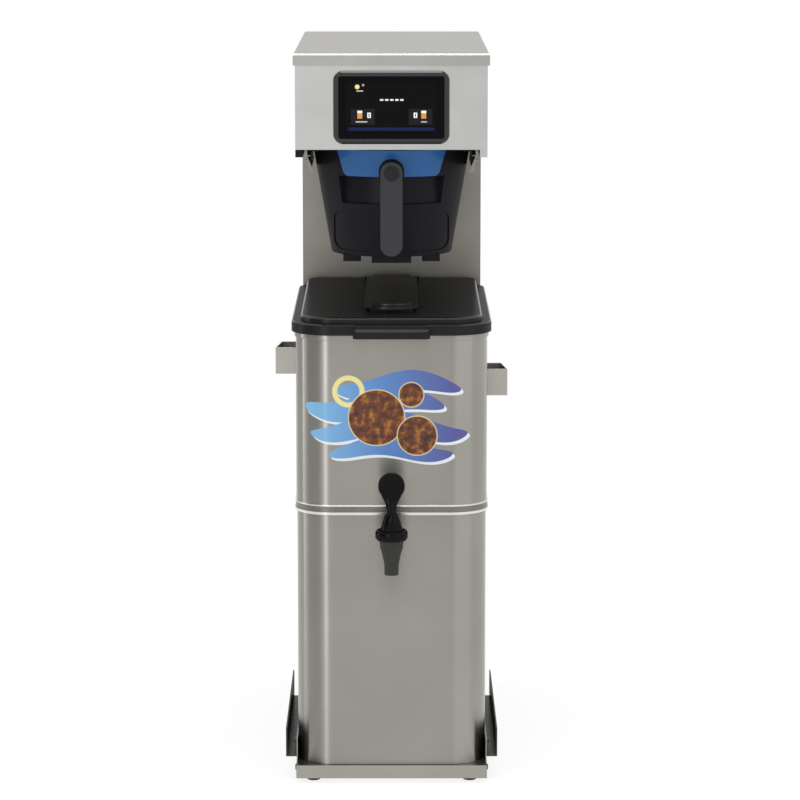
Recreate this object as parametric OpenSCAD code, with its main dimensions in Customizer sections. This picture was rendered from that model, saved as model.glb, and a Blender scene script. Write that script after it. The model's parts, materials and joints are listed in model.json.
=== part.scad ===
// Narrow iced tea brewer: a column machine with a brew cone under its head
// and a lift-out tea dispenser with a lid, a hinged flap and a tap.
// Millimetres, +Z up, the front faces -Y, the origin is under the middle of the whole.

/* [Housing] */
// Width of the base and the column
machine_w = 234; // [228:1:244]
// Depth from the front of the head to the rear panel
machine_d = 528; // [522:1:550]
// Height of the top cover above the counter
machine_h = 892; // [888:1:900]
// Thickness of the folded steel sheet
sheet = 1.2; // [0.8:0.1:1.5]
// Gap left where one piece rests on another or slides past it
seat_gap = 0.3; // [0.2:0.05:0.4]

/* [Base] */
// Height of the rubber feet
foot_h = 6; // [4:0.5:9]
// Diameter of a rubber foot
foot_d = 18; // [14:1:22]
// Distance from the housing's side to a foot's axis
foot_inset_x = 21; // [16:1:30]
// Distance from the front or the rear to a foot's axis
foot_inset_y = 20; // [16:1:40]
// Height of the base's folded skirt
base_h = 16.3; // [14:0.1:20]
// Height of the side guides above the base's top
guide_h = 28; // [24:1:34]

/* [Side channels] */
// Width of a side channel
channel_w = 13; // [8:0.5:16]
// Height of a side channel's inner flange
channel_h = 21; // [16:0.5:24]
// Height of a side channel's outer wall
channel_wall_h = 36; // [28:0.5:40]
// Length of a side channel
channel_l = 300; // [200:1:330]
// Distance from the base's front to the channels
channel_setback = 18; // [10:1:24]
// Height of a channel's underside above the base's top
channel_lift = 6.7; // [4:0.1:7]
// Wall thickness of a side channel
channel_wall = 1.6; // [1.2:0.1:2]

/* [Column] */
// Depth of the column
column_d = 120; // [112:1:130]
// Width of the fold behind each side of the column
column_fold = 12; // [8:1:16]
// Height of the two front screws above the head's underside, negative below
column_screw_drop = 30; // [20:1:60]
// Distance from the housing's side to a front screw
column_screw_inset = 5; // [4.5:0.5:8]

/* [Head] */
// How far each side of the head's body stands in from the column's side
head_inset = 2.5; // [0:0.5:4]
// Height of the head's front panel
front_panel_h = 100; // [96:1:104]
// Height of the top cover's lip
cover_h = 14; // [10:1:18]
// How far the cover's lip stands in front of the front panel
cover_overhang = 1.5; // [1.4:0.1:3]
// Width of the bevel round the top cover
cover_bevel = 1.5; // [0.5:0.5:3]
// Height and width of the folded rail under each side of the head
lip_size = 9; // [6:0.5:10]

/* [Display] */
// Width of the display's bezel
bezel_w = 138; // [132:1:150]
// Height of the display's bezel
bezel_h = 87; // [82:1:90]
// Thickness of the bezel in front of the panel
bezel_t = 4; // [3:0.5:6]
// Corner radius of the bezel
bezel_r = 12; // [8:1:16]
// Height of the bezel above the front panel's lower edge
bezel_lift = 7; // [4:0.5:9]
// Width of the bezel beside the touch glass
bezel_side = 6; // [5:0.5:10]
// Width of the bezel above and below the touch glass
bezel_edge = 6.5; // [5:0.5:9]
// Thickness of the touch glass
glass_t = 1.6; // [1:0.2:2]
// Width of the control board
board_w = 164; // [140:1:180]
// Depth of the control board
board_d = 120; // [100:1:130]
// Distance from the head's front to the control board
board_setback = 28; // [24:1:40]
// Height of the standoffs under the control board
standoff_h = 12; // [8:1:16]

/* [Brew cone] */
// Distance from the head's front to the brew cone's axis
cone_y = 200; // [190:1:210]
// Distance from the head's underside down to the cone's rim
cone_drop = 8; // [7:0.5:9]
// Height of the cone without its feet
cone_h = 135; // [125:1:140]
// Distance from the column's side line in to the cone's rim
cone_side_gap = 18.5; // [17:0.5:25]
// Outer diameter of the cone's floor
cone_bottom_d = 150; // [140:1:156]
// Wall thickness of the cone
cone_wall = 3; // [2.4:0.1:3.6]
// Height of the cone's feet
cone_foot_h = 8; // [6:0.5:10]
// Radius of the drain in the cone's floor
drain_r = 4; // [3:0.5:6]
// Height of the lower band, from the floor to the ledge
band_h = 66; // [60:1:70]
// Height of the finger recess above the ledge
recess_h = 34; // [26:1:38]
// Depth of the finger recess
recess_depth = 8; // [5:0.5:10]
// Half the angle that the finger recess spans
recess_angle = 45; // [38:1:50]
// Height of the coloured label
label_h = 33; // [24:1:33]
// Width of the label's upper edge
label_top_w = 135; // [120:1:140]
// Width of the label's lower edge
label_bottom_w = 118; // [100:1:126]
// Thickness of the label
label_t = 1.4; // [1:0.1:2]

/* [Cone handle] */
// Width of the handle bar
handle_w = 27; // [22:1:32]
// Length of the handle bar
handle_l = 115; // [105:1:120]
// Thickness of the handle bar
handle_t = 10; // [8:0.5:14]
// Height of the handle's lower end above the cone's floor
handle_lift = 6; // [4:0.5:8]
// Distance from the cone's rim forward to the bar's rear face
handle_reach = 14; // [12:1:20]
// Diameter of the blank disc on the handle
badge_d = 19; // [14:1:20]

/* [Cone rails] */
// Length of a cone rail
rail_l = 205; // [190:1:220]
// Distance from the head's front to the rails
rail_setback = 93; // [85:1:98]
// Thickness of the rail sheet
rail_sheet = 1.5; // [1.2:0.1:1.8]
// How far each ear of the cone stands out past its rim
ear_reach = 3.3; // [2.5:0.1:4]

/* [Dispenser] */
// How far the tank's wall stands in from the housing's side line
tank_side_gap = 0.5; // [0.5:0.1:3]
// Distance from the head's front to the tank's front
tank_setback = 4; // [2:0.5:10]
// Depth of the tea tank
tank_d = 388; // [370:1:390]
// Distance from the cone's floor down to the tank's rim
rim_drop = 69.6; // [66:0.1:90]
// Radius of the tank's front corners
tank_front_r = 46; // [40:1:60]
// Radius of the tank's rear corners
tank_rear_r = 22; // [20:1:30]
// Thickness of the tank's sheet
tank_wall = 1; // [0.8:0.1:1.2]
// Height of the rolled rim under the lid
rim_h = 17; // [14:1:20]
// How far the rolled rim stands out
rim_out = 1.8; // [1.2:0.1:2]
// Height of the seam bead above the base
seam_z = 312; // [306:1:322]
// Height of the seam bead
seam_h = 12; // [9:1:14]
// How far the seam bead stands out
seam_out = 1.5; // [1:0.1:2]
// Depth of the tank's floor below the seam
sump_h = 66; // [64:1:80]
// How far the skirt stands in from the tank's wall
skirt_inset = 1; // [0.8:0.1:1.5]

/* [Dispenser handles] */
// Height of a strap handle
strap_h = 33; // [26:1:38]
// Thickness of the strap
strap_t = 1.6; // [1.2:0.1:2]
// How far a handle stands out from the tank
strap_reach = 26.5; // [20:0.5:30]
// Length of a handle from front to rear
strap_l = 52; // [44:1:64]
// Slant of the outer leg towards the tank
strap_slant = 6; // [2:0.5:8]
// Distance from the tank's front to the handles
strap_setback = 96; // [90:1:120]
// Distance from the tank's rim down to the left handle's lower edge
left_strap_drop = 72.4; // [60:0.1:110]
// Distance from the tank's rim down to the right handle's lower edge
right_strap_drop = 99.4; // [60:0.1:130]
// Length of each welded tab
strap_tab = 12; // [8:1:16]

/* [Lid] */
// Width of the lid past the tank's wall on each side
lid_over = 5; // [4.5:0.1:6]
// Height of the lid's skirt
lid_skirt_h = 13.5; // [12:0.5:18]
// Wall thickness of the lid
lid_wall = 2.6; // [2:0.1:2.6]
// Height of the raised plateau above the skirt
plateau_h = 7; // [5:0.5:9]
// Distance from the lid's edge in to the plateau
plateau_inset = 12; // [10:0.5:14]
// Width of the front lift tab
tab_w = 93; // [70:1:110]
// How far the lift tab stands forward
tab_reach = 7; // [5:0.5:10]
// Height of the lift tab
tab_h = 13; // [10:0.5:16]

/* [Flap] */
// Width of the flap
flap_w = 64; // [58:1:70]
// Distance from the lid's rear edge forward to the flap's hinge
hinge_setback = 32.8; // [30:0.1:50]
// Distance from the lid's front edge to the flap's lip
flap_setback = 56; // [50:1:62]
// How far the middle of the flap's lip bulges forward
flap_bulge = 14; // [8:1:16]
// Thickness of the flap's plate
flap_t = 3.5; // [3:0.1:4]
// Width of the raised panel on the flap
flap_panel_w = 48; // [40:1:50]
// Height of the raised panel
flap_panel_h = 3; // [2:0.1:3.5]
// Height of the curb that carries the flap
curb_h = 3; // [2.5:0.1:3.5]
// Radius of the hinge pin
flap_pin_r = 1.5; // [1.2:0.1:1.8]
// Radial running clearance in the hinge barrel
pin_play = 0.06; // [0.03:0.01:0.1]

/* [Tap] */
// Distance from the tank's front forward to the tap's axis
tap_reach = 48; // [44:1:56]
// Distance from the seam's lower edge down to the tap's inlet axis
tap_drop = 36.3; // [34:0.1:40]
// Radius of the threaded shank
shank_r = 8; // [7:0.5:9]
// Radius of the spout's mouth
spout_r = 8.4; // [7.5:0.1:9]
// Radius of the spout where it meets the collar
spout_top_r = 15; // [14:0.1:16]
// Height of the spout below the collar
spout_h = 42.5; // [40:0.5:48]
// Radius of the collar
collar_r = 19.8; // [18.5:0.1:21]
// Height of the collar
collar_h = 12; // [11:0.5:14]
// Diameter of the lever's knob
knob_d = 32; // [28:1:36]
// Height of the knob's centre above the collar
knob_lift = 53.5; // [50:0.5:60]
// Thickness of the knob
knob_t = 9; // [7:0.5:12]

/* [Water system] */
// Width of the heating tank
boiler_w = 190; // [160:1:200]
// Depth of the heating tank
boiler_d = 88; // [80:1:90]
// Height of the heating tank
boiler_h = 250; // [200:1:260]
// Wall thickness of the heating tank
boiler_wall = 1.5; // [1:0.1:2]
// Distance from the head's underside down to the tank's lid
boiler_drop = 36; // [30:1:50]
// Radius of the spray head
spray_r = 38; // [30:1:42]
// Outer radius of the hoses
hose_r = 7; // [6:0.5:8]
// Wall thickness of the hoses
hose_wall = 2; // [1.5:0.1:2.5]
// Radius of the threaded water inlet
inlet_r = 5.55; // [5:0.05:7]
// Length of the threaded water inlet behind the rear panel
inlet_l = 17; // [14:1:20]
// Height of the water inlet and the cord gland above the counter
service_z = 90; // [80:1:110]
// Distance from the housing's side to the water inlet and to the cord gland
service_inset = 55; // [50:1:62]

/* [Switch] */
// Width of the power switch's frame
switch_w = 31; // [28:1:34]
// Height of the power switch's frame
switch_h = 27; // [26:1:30]
// Height of the switch's middle above the counter
switch_z = 160; // [150:1:180]

/* [Hidden] */
$fn = 72;
eps = 0.5;
screw_r = 1.75;
screw_head_r = 3.4;
screw_head_h = 2;
screw_l = 7;

base_top = foot_h + base_h;
head_w = machine_w - 2 * head_inset;
service_x = machine_w / 2 - service_inset;
cover_z = machine_h - cover_h;
head_z = cover_z - front_panel_h;
column_y = machine_d - column_d;
rear_y = machine_d - sheet;
tap_y = tank_setback - tap_reach;
reach_front = tap_y - collar_r;
reach_rear = machine_d + inlet_l;
y_mid = (reach_front + reach_rear) / 2;

bezel_z = head_z + bezel_lift + bezel_h / 2;
glass_w = bezel_w - 2 * bezel_side;
glass_h = bezel_h - 2 * bezel_edge;
board_hole_inset = 8;
board_part_h = 18;

cone_top_d = machine_w - 2 * cone_side_gap;
cone_top = head_z - cone_drop;
cone_floor = cone_top - cone_h;
cone_slope = (cone_top_d - cone_bottom_d) / 2 / cone_h;
band_top = cone_floor + band_h;
recess_top = band_top + recess_h;
recess_r = cone_r((band_top + recess_top) / 2) - recess_depth;
ear_x = cone_top_d / 2 + ear_reach;
ear_h = 6;
ear_l = 120;
ledge_z = cone_top - ear_h - seat_gap;
rail_x = ear_x + 0.8;
rail_low_z = head_z - 36;
rail_end = head_w / 2 - sheet - 2.7;
handle_y = cone_y - cone_top_d / 2 - handle_reach - handle_t;
handle_z = cone_floor + handle_lift;
arm_w = 15;
arm_h = 12;
top_arm_z = handle_z + handle_l - 17;
low_arm_z = handle_z + 8;

stand_z = base_top + seat_gap;
rim_z = cone_floor - rim_drop;
left_strap_z = rim_z - left_strap_drop;
right_strap_z = rim_z - right_strap_drop;
seam_top = base_top + seam_z + seam_h;
seam_bottom = base_top + seam_z;
ledge_mid = base_top + seam_z + seam_h / 2;
seam_inset = 0.3;
seam_groove = 0.7;
sump_in = 3;
sump_floor = ledge_mid - sump_h;
tank_w = machine_w - 2 * tank_side_gap;
tank_y1 = tank_setback + tank_d;
tank_side = tank_w / 2;

lid_z = rim_z + seat_gap;
lid_bottom = lid_z + lid_wall - lid_skirt_h;
lid_top = lid_z + lid_wall;
plateau_z = lid_top + plateau_h;
lid_w = tank_w + 2 * lid_over;
lid_y0 = tank_setback - lid_over - rim_out;
lid_y1 = tank_y1 + lid_over;
flap_y0 = lid_y0 + flap_setback;
hinge_y = lid_y1 - hinge_setback;
flap_l = hinge_y - flap_y0;
lip_r = (flap_w * flap_w / 4 + flap_bulge * flap_bulge) / (2 * flap_bulge);
flap_z = plateau_z + curb_h + seat_gap;
barrel_r = 3;
hinge_z = flap_z + flap_t - barrel_r;
curb_w = flap_w - 12;
slot_w = curb_w - 6;
slot_l = flap_l - 45;
knuckle_t = 3;

tap_z = seam_bottom - tap_drop;
collar_z = tap_z + 15.5;
collar_top = collar_z + collar_h;
lever_z = collar_z + 6.8;
hub_r = 3.1;
pillar_top = lever_z + 2.6;
socket_h = 2;
cup_r = collar_r - 3.6;
cup_floor = collar_z + socket_h + 1.4;
pin_end = collar_r - 1;
knob_z = collar_top + knob_lift;
seat_z = tap_z - 5;
chamber_r = 8.5;
stem_r = 3;
stem_lift = 3;
rocker_pin_r = 1.5;
gland_r = 8;

boiler_lid_t = 3;
boiler_top = head_z - boiler_drop;
boiler_z = boiler_top - boiler_h;
boiler_y = column_y + sheet + (column_d - 2 * sheet - boiler_d) / 2;
boiler_mid = boiler_y + boiler_d / 2;
element_x = -0.26 * boiler_w;
probe_x = 0.2 * boiler_w;
level_x = 0.33 * boiler_w;
element_gap = 16;
valve_z = head_z + 30;

// Outer radius of the brew cone at a height
function cone_r(z) = cone_bottom_d / 2 + (z - cone_floor) * cone_slope;

// Moves what is measured from the head's front into the part's frame
module from_front() translate([0, -y_mid, 0]) children();

// The same shape on the right and on the left
module both_sides() {
    children();
    mirror([1, 0, 0]) children();
}

// A plan with two front corners of one radius and two rear corners of another
module plan(w, y0, y1, rf, rr) {
    mid = (y0 + y1) / 2;
    translate([-w / 2, y0 + rf]) square([w, y1 - y0 - rf - rr]);
    translate([-w / 2 + rf, y0]) square([w - 2 * rf, mid - y0]);
    translate([-w / 2 + rr, mid - 1]) square([w - 2 * rr, y1 - mid + 1]);
    for (s = [-1, 1]) {
        translate([s * (w / 2 - rf), y0 + rf]) circle(rf);
        translate([s * (w / 2 - rr), y1 - rr]) circle(rr);
    }
}

// The tank's plan, drawn in by a distance; a negative one draws it out
module tank_plan(inset) plan(
    tank_w - 2 * inset, tank_setback + inset, tank_y1 - inset, tank_front_r - inset, tank_rear_r - inset
);

// The lid's plan, drawn in by a distance
module lid_plan(inset) plan(
    lid_w - 2 * inset, lid_y0 + inset, lid_y1 - inset,
    tank_front_r + lid_over - inset, tank_rear_r + lid_over - inset
);

// A centred rectangle with round corners
module rounded(w, h, r) {
    square([w - 2 * r, h], center = true);
    square([w, h - 2 * r], center = true);
    for (sx = [-1, 1], sy = [-1, 1]) translate([sx * (w / 2 - r), sy * (h / 2 - r)]) circle(r);
}

// A plate that faces the front, from y = 0 back to its thickness
module upright(t) translate([0, t, 0]) rotate([90, 0, 0]) linear_extrude(t) children();

// A box centred on x, from y0 to y1 and from z0 to z1
module block(w, y0, y1, z0, z1) translate([-w / 2, y0, z0]) cube([w, y1 - y0, z1 - z0]);

// A box on the right, from x0 to x1
module slab(x0, x1, y0, y1, z0, z1) translate([x0, y0, z0]) cube([x1 - x0, y1 - y0, z1 - z0]);

// Rods along X and Y that start at the origin
module rod_x(r, l) rotate([0, 90, 0]) cylinder(r = r, h = l);
module rod_y(r, l) rotate([-90, 0, 0]) cylinder(r = r, h = l);

// A pan-head screw whose head stands towards +Z over z = 0
module screw(l = screw_l) {
    difference() {
        cylinder(r = screw_head_r, h = screw_head_h);
        translate([0, 0, screw_head_h - 0.8]) block(0.9, -2.2, 2.2, 0, 1);
        translate([0, 0, screw_head_h - 0.8]) rotate([0, 0, 90]) block(0.9, -2.2, 2.2, 0, 1);
    }
    translate([0, 0, -l]) cylinder(r = screw_r, h = l + eps);
}

// The clearance hole for such a screw, through whatever lies under it
module screw_hole() translate([0, 0, -screw_l - 1]) cylinder(r = screw_r + 0.1, h = screw_l + 1.01);

// Places of the screws that hold a channel to its side guide
module channel_screw_places() both_sides()
    for (y = [channel_setback + 40, channel_setback + channel_l - 40])
        translate([machine_w / 2 + channel_wall, y, base_top + channel_lift + channel_h / 2])
            rotate([0, 90, 0]) children();

// Places of the screws in the sides of the base
module base_screw_places() both_sides()
    for (y = [channel_setback + 13, channel_setback + channel_l - 60])
        translate([machine_w / 2, y, foot_h + base_h / 2 - 2]) rotate([0, 90, 0]) children();

// Places of the two screws on the column's front
module column_screw_places() both_sides()
    translate([machine_w / 2 - column_screw_inset, column_y, head_z - column_screw_drop])
        rotate([90, 0, 0]) children();

// Places of the screws in the rear panel
module rear_screw_places() both_sides()
    for (z = [base_top + 20 : (head_z - base_top - 40) / 4 : head_z - 19])
        translate([machine_w / 2 - 7, machine_d, z]) rotate([-90, 0, 0]) children();

// Places of the screws in the sides of the top cover
module cover_screw_places() both_sides()
    for (y = [60, machine_d - 60])
        translate([machine_w / 2, y, cover_z + cover_h / 2 - 1]) rotate([0, 90, 0]) children();

// Base

module base_pan() color("silver") from_front() difference() {
    union() {
        block(machine_w, 0, machine_d, foot_h, base_top);
        both_sides() slab(
            machine_w / 2 - sheet, machine_w / 2, channel_setback + 1, channel_setback + channel_l - 1,
            base_top - eps, base_top + guide_h
        );
    }
    block(machine_w - 2 * sheet, sheet, machine_d - sheet, foot_h - 1, base_top - sheet);
    channel_screw_places() screw_hole();
    base_screw_places() screw_hole();
    block(boiler_w, boiler_y, boiler_y + boiler_d, base_top - 5, base_top + 1);
}

module base_bottom_plate() color("silver") from_front() difference() {
    union() {
        block(machine_w - 2 * sheet, sheet, machine_d - sheet, foot_h, foot_h + sheet);
        both_sides() slab(
            machine_w / 2 - 2 * sheet, machine_w / 2 - sheet, channel_setback, channel_setback + channel_l,
            foot_h, base_top - 2 * sheet
        );
    }
    foot_places() translate([0, 0, -1]) cylinder(r = 3.2, h = foot_h + 10);
    base_screw_places() screw_hole();
}

module foot_places() both_sides()
    for (y = [foot_inset_y, machine_d - foot_inset_y])
        translate([machine_w / 2 - foot_inset_x, y, 0]) children();

module rubber_feet() color("#1c1c1c") from_front() foot_places() difference() {
    rotate_extrude() polygon([
        [0, 0], [foot_d / 2 - 1.5, 0], [foot_d / 2, 1.5], [foot_d / 2 - 0.8, foot_h], [0, foot_h]
    ]);
    translate([0, 0, 2]) cylinder(r = 3.1, h = foot_h);
}

module foot_studs() color("gainsboro") from_front() foot_places() {
    translate([0, 0, 2]) cylinder(r = 3, h = foot_h + 7);
    translate([0, 0, foot_h + sheet]) cylinder(r = 6, h = 4.5, $fn = 6);
}

// A bent tray: a low flange against the guide, a floor and a tall outer wall, open at both ends
module side_channel() difference() {
    x0 = machine_w / 2;
    z0 = base_top + channel_lift;
    y1 = channel_setback + channel_l;
    union() {
        slab(x0, x0 + channel_wall, channel_setback, y1, z0, z0 + channel_h);
        slab(x0, x0 + channel_w, channel_setback, y1, z0, z0 + channel_wall);
        slab(x0 + channel_w - channel_wall, x0 + channel_w, channel_setback, y1, z0, z0 + channel_wall_h);
    }
    for (y = [channel_setback + 40, channel_setback + channel_l - 40])
        translate([x0 - 1, y, z0 + channel_h / 2]) rod_x(screw_r + 0.1, channel_wall + 2);
}

module right_side_channel() color("#2a2a2c") from_front() side_channel();

module left_side_channel() color("#2a2a2c") from_front() mirror([1, 0, 0]) side_channel();

module side_screws() color("gainsboro") from_front() {
    channel_screw_places() screw(channel_wall + sheet);
    base_screw_places() screw();
}

// Column

module column_shell() color("silver") from_front() difference() {
    block(machine_w, column_y, rear_y, base_top, head_z);
    block(machine_w - 2 * sheet, column_y + sheet, rear_y - sheet, base_top - 1, head_z + 1);
    block(machine_w - 2 * column_fold, rear_y - 2 * sheet, rear_y + 1, base_top - 1, head_z + 1);
    column_screw_places() screw_hole();
    rear_screw_places() screw_hole();
}

module column_screws() color("gainsboro") from_front() column_screw_places() screw();

module vent_rows() for (row = [0 : 7], sx = [-1, 1])
    translate([sx * 45, 0, head_z - 60 - row * 14])
        translate([0, rear_y - 1, 0]) upright(sheet + 2) rounded(60, 5, 2.4);

module rear_panel() color("silver") from_front() difference() {
    block(machine_w - 1, rear_y, machine_d, base_top, cover_z - seat_gap);
    vent_rows();
    rear_screw_places() screw_hole();
    translate([service_x, rear_y - 1, service_z]) rod_y(inlet_r + 0.3, sheet + 2);
    translate([-service_x, rear_y - 1, service_z]) rod_y(gland_r + 0.3, sheet + 2);
    block(switch_w - 3.6, rear_y - 1, machine_d + 1, switch_z - switch_h / 2 + 1.8, switch_z + switch_h / 2 - 1.8);
}

module panel_screws() color("gainsboro") from_front() {
    rear_screw_places() screw();
    cover_screw_places() screw();
}

// Head

module head_body() color("silver") from_front() difference() {
    union() {
        block(head_w, sheet, rear_y, head_z, machine_h - sheet - seat_gap);
        block(head_w, sheet, column_y - seat_gap, head_z - lip_size, head_z + eps);
    }
    block(head_w - 2 * sheet, sheet - 1, rear_y + 1, head_z + sheet, machine_h);
    block(head_w - 2 * lip_size, sheet - 1, column_y, head_z - lip_size - 1, head_z);
    block(head_w - 2 * sheet, sheet - 1, column_y, head_z - lip_size + sheet, head_z);
    translate([0, cone_y, head_z - 1]) cylinder(r = 10.5, h = 4);
    block(boiler_w - 10, boiler_y, boiler_y + boiler_d, head_z - 1, head_z + sheet + 1);
    cover_screw_places() screw_hole();
}

module head_front_panel() color("gainsboro") from_front() difference() {
    union() {
        block(head_w, 0, sheet, head_z, machine_h - sheet - seat_gap);
        block(head_w - 2 * sheet - 1, 0, 14, head_z + sheet, head_z + 2 * sheet);
        slab(head_w / 2 - lip_size, head_w / 2, 0, sheet, head_z - lip_size, head_z + eps);
    }
    translate([0, -1, bezel_z]) upright(sheet + 2) rounded(glass_w - 6, glass_h - 6, 2);
}

module head_top_cover() color("gainsboro") from_front() difference() {
    hull() {
        block(machine_w, -cover_overhang, machine_d, cover_z, machine_h - cover_bevel);
        block(
            machine_w - 2 * cover_bevel, cover_bevel - cover_overhang, machine_d - cover_bevel,
            cover_z, machine_h
        );
    }
    block(
        machine_w - 2 * sheet, sheet - cover_overhang, machine_d - sheet, cover_z - 1, machine_h - sheet
    );
    cover_screw_places() screw_hole();
}

module rail_end_cap() color("#202020") from_front()
    slab(-head_w / 2, -head_w / 2 + lip_size, 0, sheet, head_z - lip_size, head_z - seat_gap);

module cone_rail() {
    wall = rail_sheet;
    foot_x = rail_x - (ledge_z - rail_low_z) * cone_slope;
    translate([0, rail_setback + rail_l, 0]) rotate([90, 0, 0]) linear_extrude(rail_l) polygon([
        [rail_x, head_z], [rail_x, ledge_z], [ear_x - 3, ledge_z], [ear_x - 3, ledge_z - wall],
        [rail_x - 0.3, ledge_z - wall], [foot_x, rail_low_z], [foot_x + wall, rail_low_z],
        [rail_x + wall, ledge_z - wall], [rail_x + wall, head_z - wall],
        [rail_end, head_z - wall], [rail_end, head_z]
    ]);
    translate([0, rail_setback + wall, 0]) rotate([90, 0, 0]) linear_extrude(wall) polygon([
        [rail_x, head_z - wall], [rail_x, ledge_z - wall], [foot_x - 5, rail_low_z],
        [foot_x + wall, rail_low_z], [rail_x + wall, ledge_z - wall], [rail_x + wall, head_z - wall]
    ]);
    translate([rail_x - 1, rail_setback + 12, (ledge_z + rail_low_z) / 2 + 3]) rod_x(2.2, wall + 2);
}

module right_cone_rail() color("silver") from_front() cone_rail();

module left_cone_rail() color("silver") from_front() mirror([1, 0, 0]) cone_rail();

// Display

module display_bezel() color("#4a4c50") from_front() translate([0, 0, bezel_z]) difference() {
    translate([0, -bezel_t, 0]) upright(bezel_t) rounded(bezel_w, bezel_h, bezel_r);
    translate([0, -bezel_t - 1, 0]) upright(bezel_t) rounded(glass_w + 0.4, glass_h + 0.4, 3);
    translate([0, -bezel_t - 1, 0]) upright(bezel_t + 2) rounded(glass_w - 6, glass_h - 6, 2);
}

module display_glass() color("#0b0c10") from_front()
    translate([0, -1 - glass_t, bezel_z]) upright(glass_t) rounded(glass_w, glass_h, 2.5);

module display_module() color("#3a3f45") from_front() {
    block(
        glass_w - 8, -1 + 0.2, sheet + 5, bezel_z - glass_h / 2 + 4, bezel_z + glass_h / 2 - 4
    );
    block(glass_w + 10, sheet, sheet + 2.4, bezel_z - glass_h / 2 - 2, bezel_z + glass_h / 2 + 2);
    block(60, sheet + 5, sheet + 12, bezel_z - 18, bezel_z + 18);
}

module standoff_places() both_sides()
    for (y = [board_setback + board_hole_inset, board_setback + board_d - board_hole_inset])
        translate([board_w / 2 - board_hole_inset, y, head_z + sheet]) children();

// A box on the board, its middle and size given as shares of the board
module board_part(x, y, w, d, h) translate([x * board_w, board_setback + y * board_d, head_z + sheet + standoff_h + 1.5])
    block(w * board_w, -d * board_d / 2, d * board_d / 2, 0, h * board_part_h);

module control_board() color("darkgreen") from_front() {
    difference() {
        block(
            board_w, board_setback, board_setback + board_d,
            head_z + sheet + standoff_h, head_z + sheet + standoff_h + 1.6
        );
        standoff_places() cylinder(r = 1.8, h = 2 * standoff_h);
    }
    for (x = [-0.34, -0.2, -0.06]) board_part(x, 0.25, 0.11, 0.23, 0.9);
    for (x = [0.1, 0.2]) board_part(x, 0.25, 0.07, 0.1, 1.2);
    board_part(0.32, 0.34, 0.15, 0.35, 1.35);
    for (x = [-0.36 : 0.145 : 0.37]) board_part(x, 0.88, 0.11, 0.1, 0.55);
    board_part(0, 0.63, 0.2, 0.2, 0.2);
}

module board_standoffs() color("khaki") from_front() standoff_places() {
    cylinder(r = 3, h = standoff_h);
    cylinder(r = 1.7, h = standoff_h + 3);
    translate([0, 0, standoff_h + 1.6]) cylinder(r = 3.2, h = 2.4, $fn = 6);
}

// Spray head and its supply

module spray_head() color("#d8d8d8") from_front() translate([0, cone_y, 0]) difference() {
    union() {
        rotate_extrude() polygon([
            [0, head_z - 5.5], [spray_r, head_z - 5.5], [spray_r, head_z - 3.5],
            [14, head_z - 0.2], [10, head_z - 0.2], [10, head_z + 22], [0, head_z + 22]
        ]);
        translate([0, 0, valve_z]) sphere(r = 10);
        translate([0, 0, valve_z]) rod_y(5, 26);
        translate([0, 0, head_z + 15]) cylinder(r = 10, h = 15);
    }
    translate([0, 0, head_z - 4]) cylinder(r1 = spray_r - 4, r2 = 8, h = 3);
    translate([0, 0, head_z - 2]) cylinder(r = 6, h = 32);
    translate([0, 0, valve_z]) rod_y(3, 27);
    for (ring = [1, 2, 3], i = [0 : 6 * ring - 1])
        rotate([0, 0, i * 60 / ring]) translate([ring * spray_r / 4, 0, head_z - 6])
            cylinder(r = 1.2, h = 3, $fn = 16);
}

module spray_head_nut() color("goldenrod") from_front() translate([0, cone_y, head_z + sheet]) difference() {
    cylinder(r = 16, h = 7, $fn = 6);
    translate([0, 0, -1]) cylinder(r = 10.2, h = 9);
}

module spray_hose() color("#c9cdd0") from_front() translate([0, cone_y + 12, valve_z]) difference() {
    rod_y(hose_r, boiler_mid - 22 - cone_y - 12);
    translate([0, -1, 0]) rod_y(5.05, boiler_mid - 22 - cone_y - 10);
}

module dispense_valve() color("#3c4a66") from_front() {
    difference() {
        union() {
            translate([0, boiler_mid, 0]) {
                block(34, -20, 20, valve_z - 14, valve_z + 14);
                translate([0, 0, boiler_top + boiler_lid_t + 0.2]) cylinder(r = 6, h = valve_z - 14 - boiler_top);
                translate([0, 0, boiler_top + boiler_lid_t + 0.2]) cylinder(r = 11, h = 6, $fn = 6);
            }
            translate([0, boiler_mid - 38, valve_z]) rod_y(5, 20);
        }
        translate([0, boiler_mid - 39, valve_z]) rod_y(3, 30);
        translate([0, boiler_mid, boiler_top]) cylinder(r = 4, h = valve_z - boiler_top + 4);
    }
    translate([17, boiler_mid, valve_z]) rod_x(13, 34);
    translate([36, boiler_mid, 0]) block(20, 12, 17, valve_z - 6, valve_z + 6);
}

// Heating tank

module heating_tank() color("silver") from_front() {
    difference() {
        block(boiler_w, boiler_y, boiler_y + boiler_d, boiler_z, boiler_top);
        block(
            boiler_w - 2 * boiler_wall, boiler_y + boiler_wall, boiler_y + boiler_d - boiler_wall,
            boiler_z + boiler_wall, boiler_top + 1
        );
        translate([service_x, boiler_mid, boiler_z - 1]) cylinder(r = 4, h = 5);
    }
    translate([service_x, boiler_mid, boiler_z - 22]) difference() {
        cylinder(r = 5, h = 22);
        translate([0, 0, -1]) cylinder(r = 3.4, h = 25);
    }
}

module lid_port(x, r) translate([x, boiler_mid, boiler_top - 1]) cylinder(r = r, h = boiler_lid_t + 2);

module heating_tank_lid() color("silver") from_front() difference() {
    block(boiler_w, boiler_y, boiler_y + boiler_d, boiler_top, boiler_top + boiler_lid_t);
    lid_port(0, 4.5);
    lid_port(element_x, 17);
    lid_port(probe_x, 3.2);
    lid_port(level_x, 3.2);
}

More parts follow.
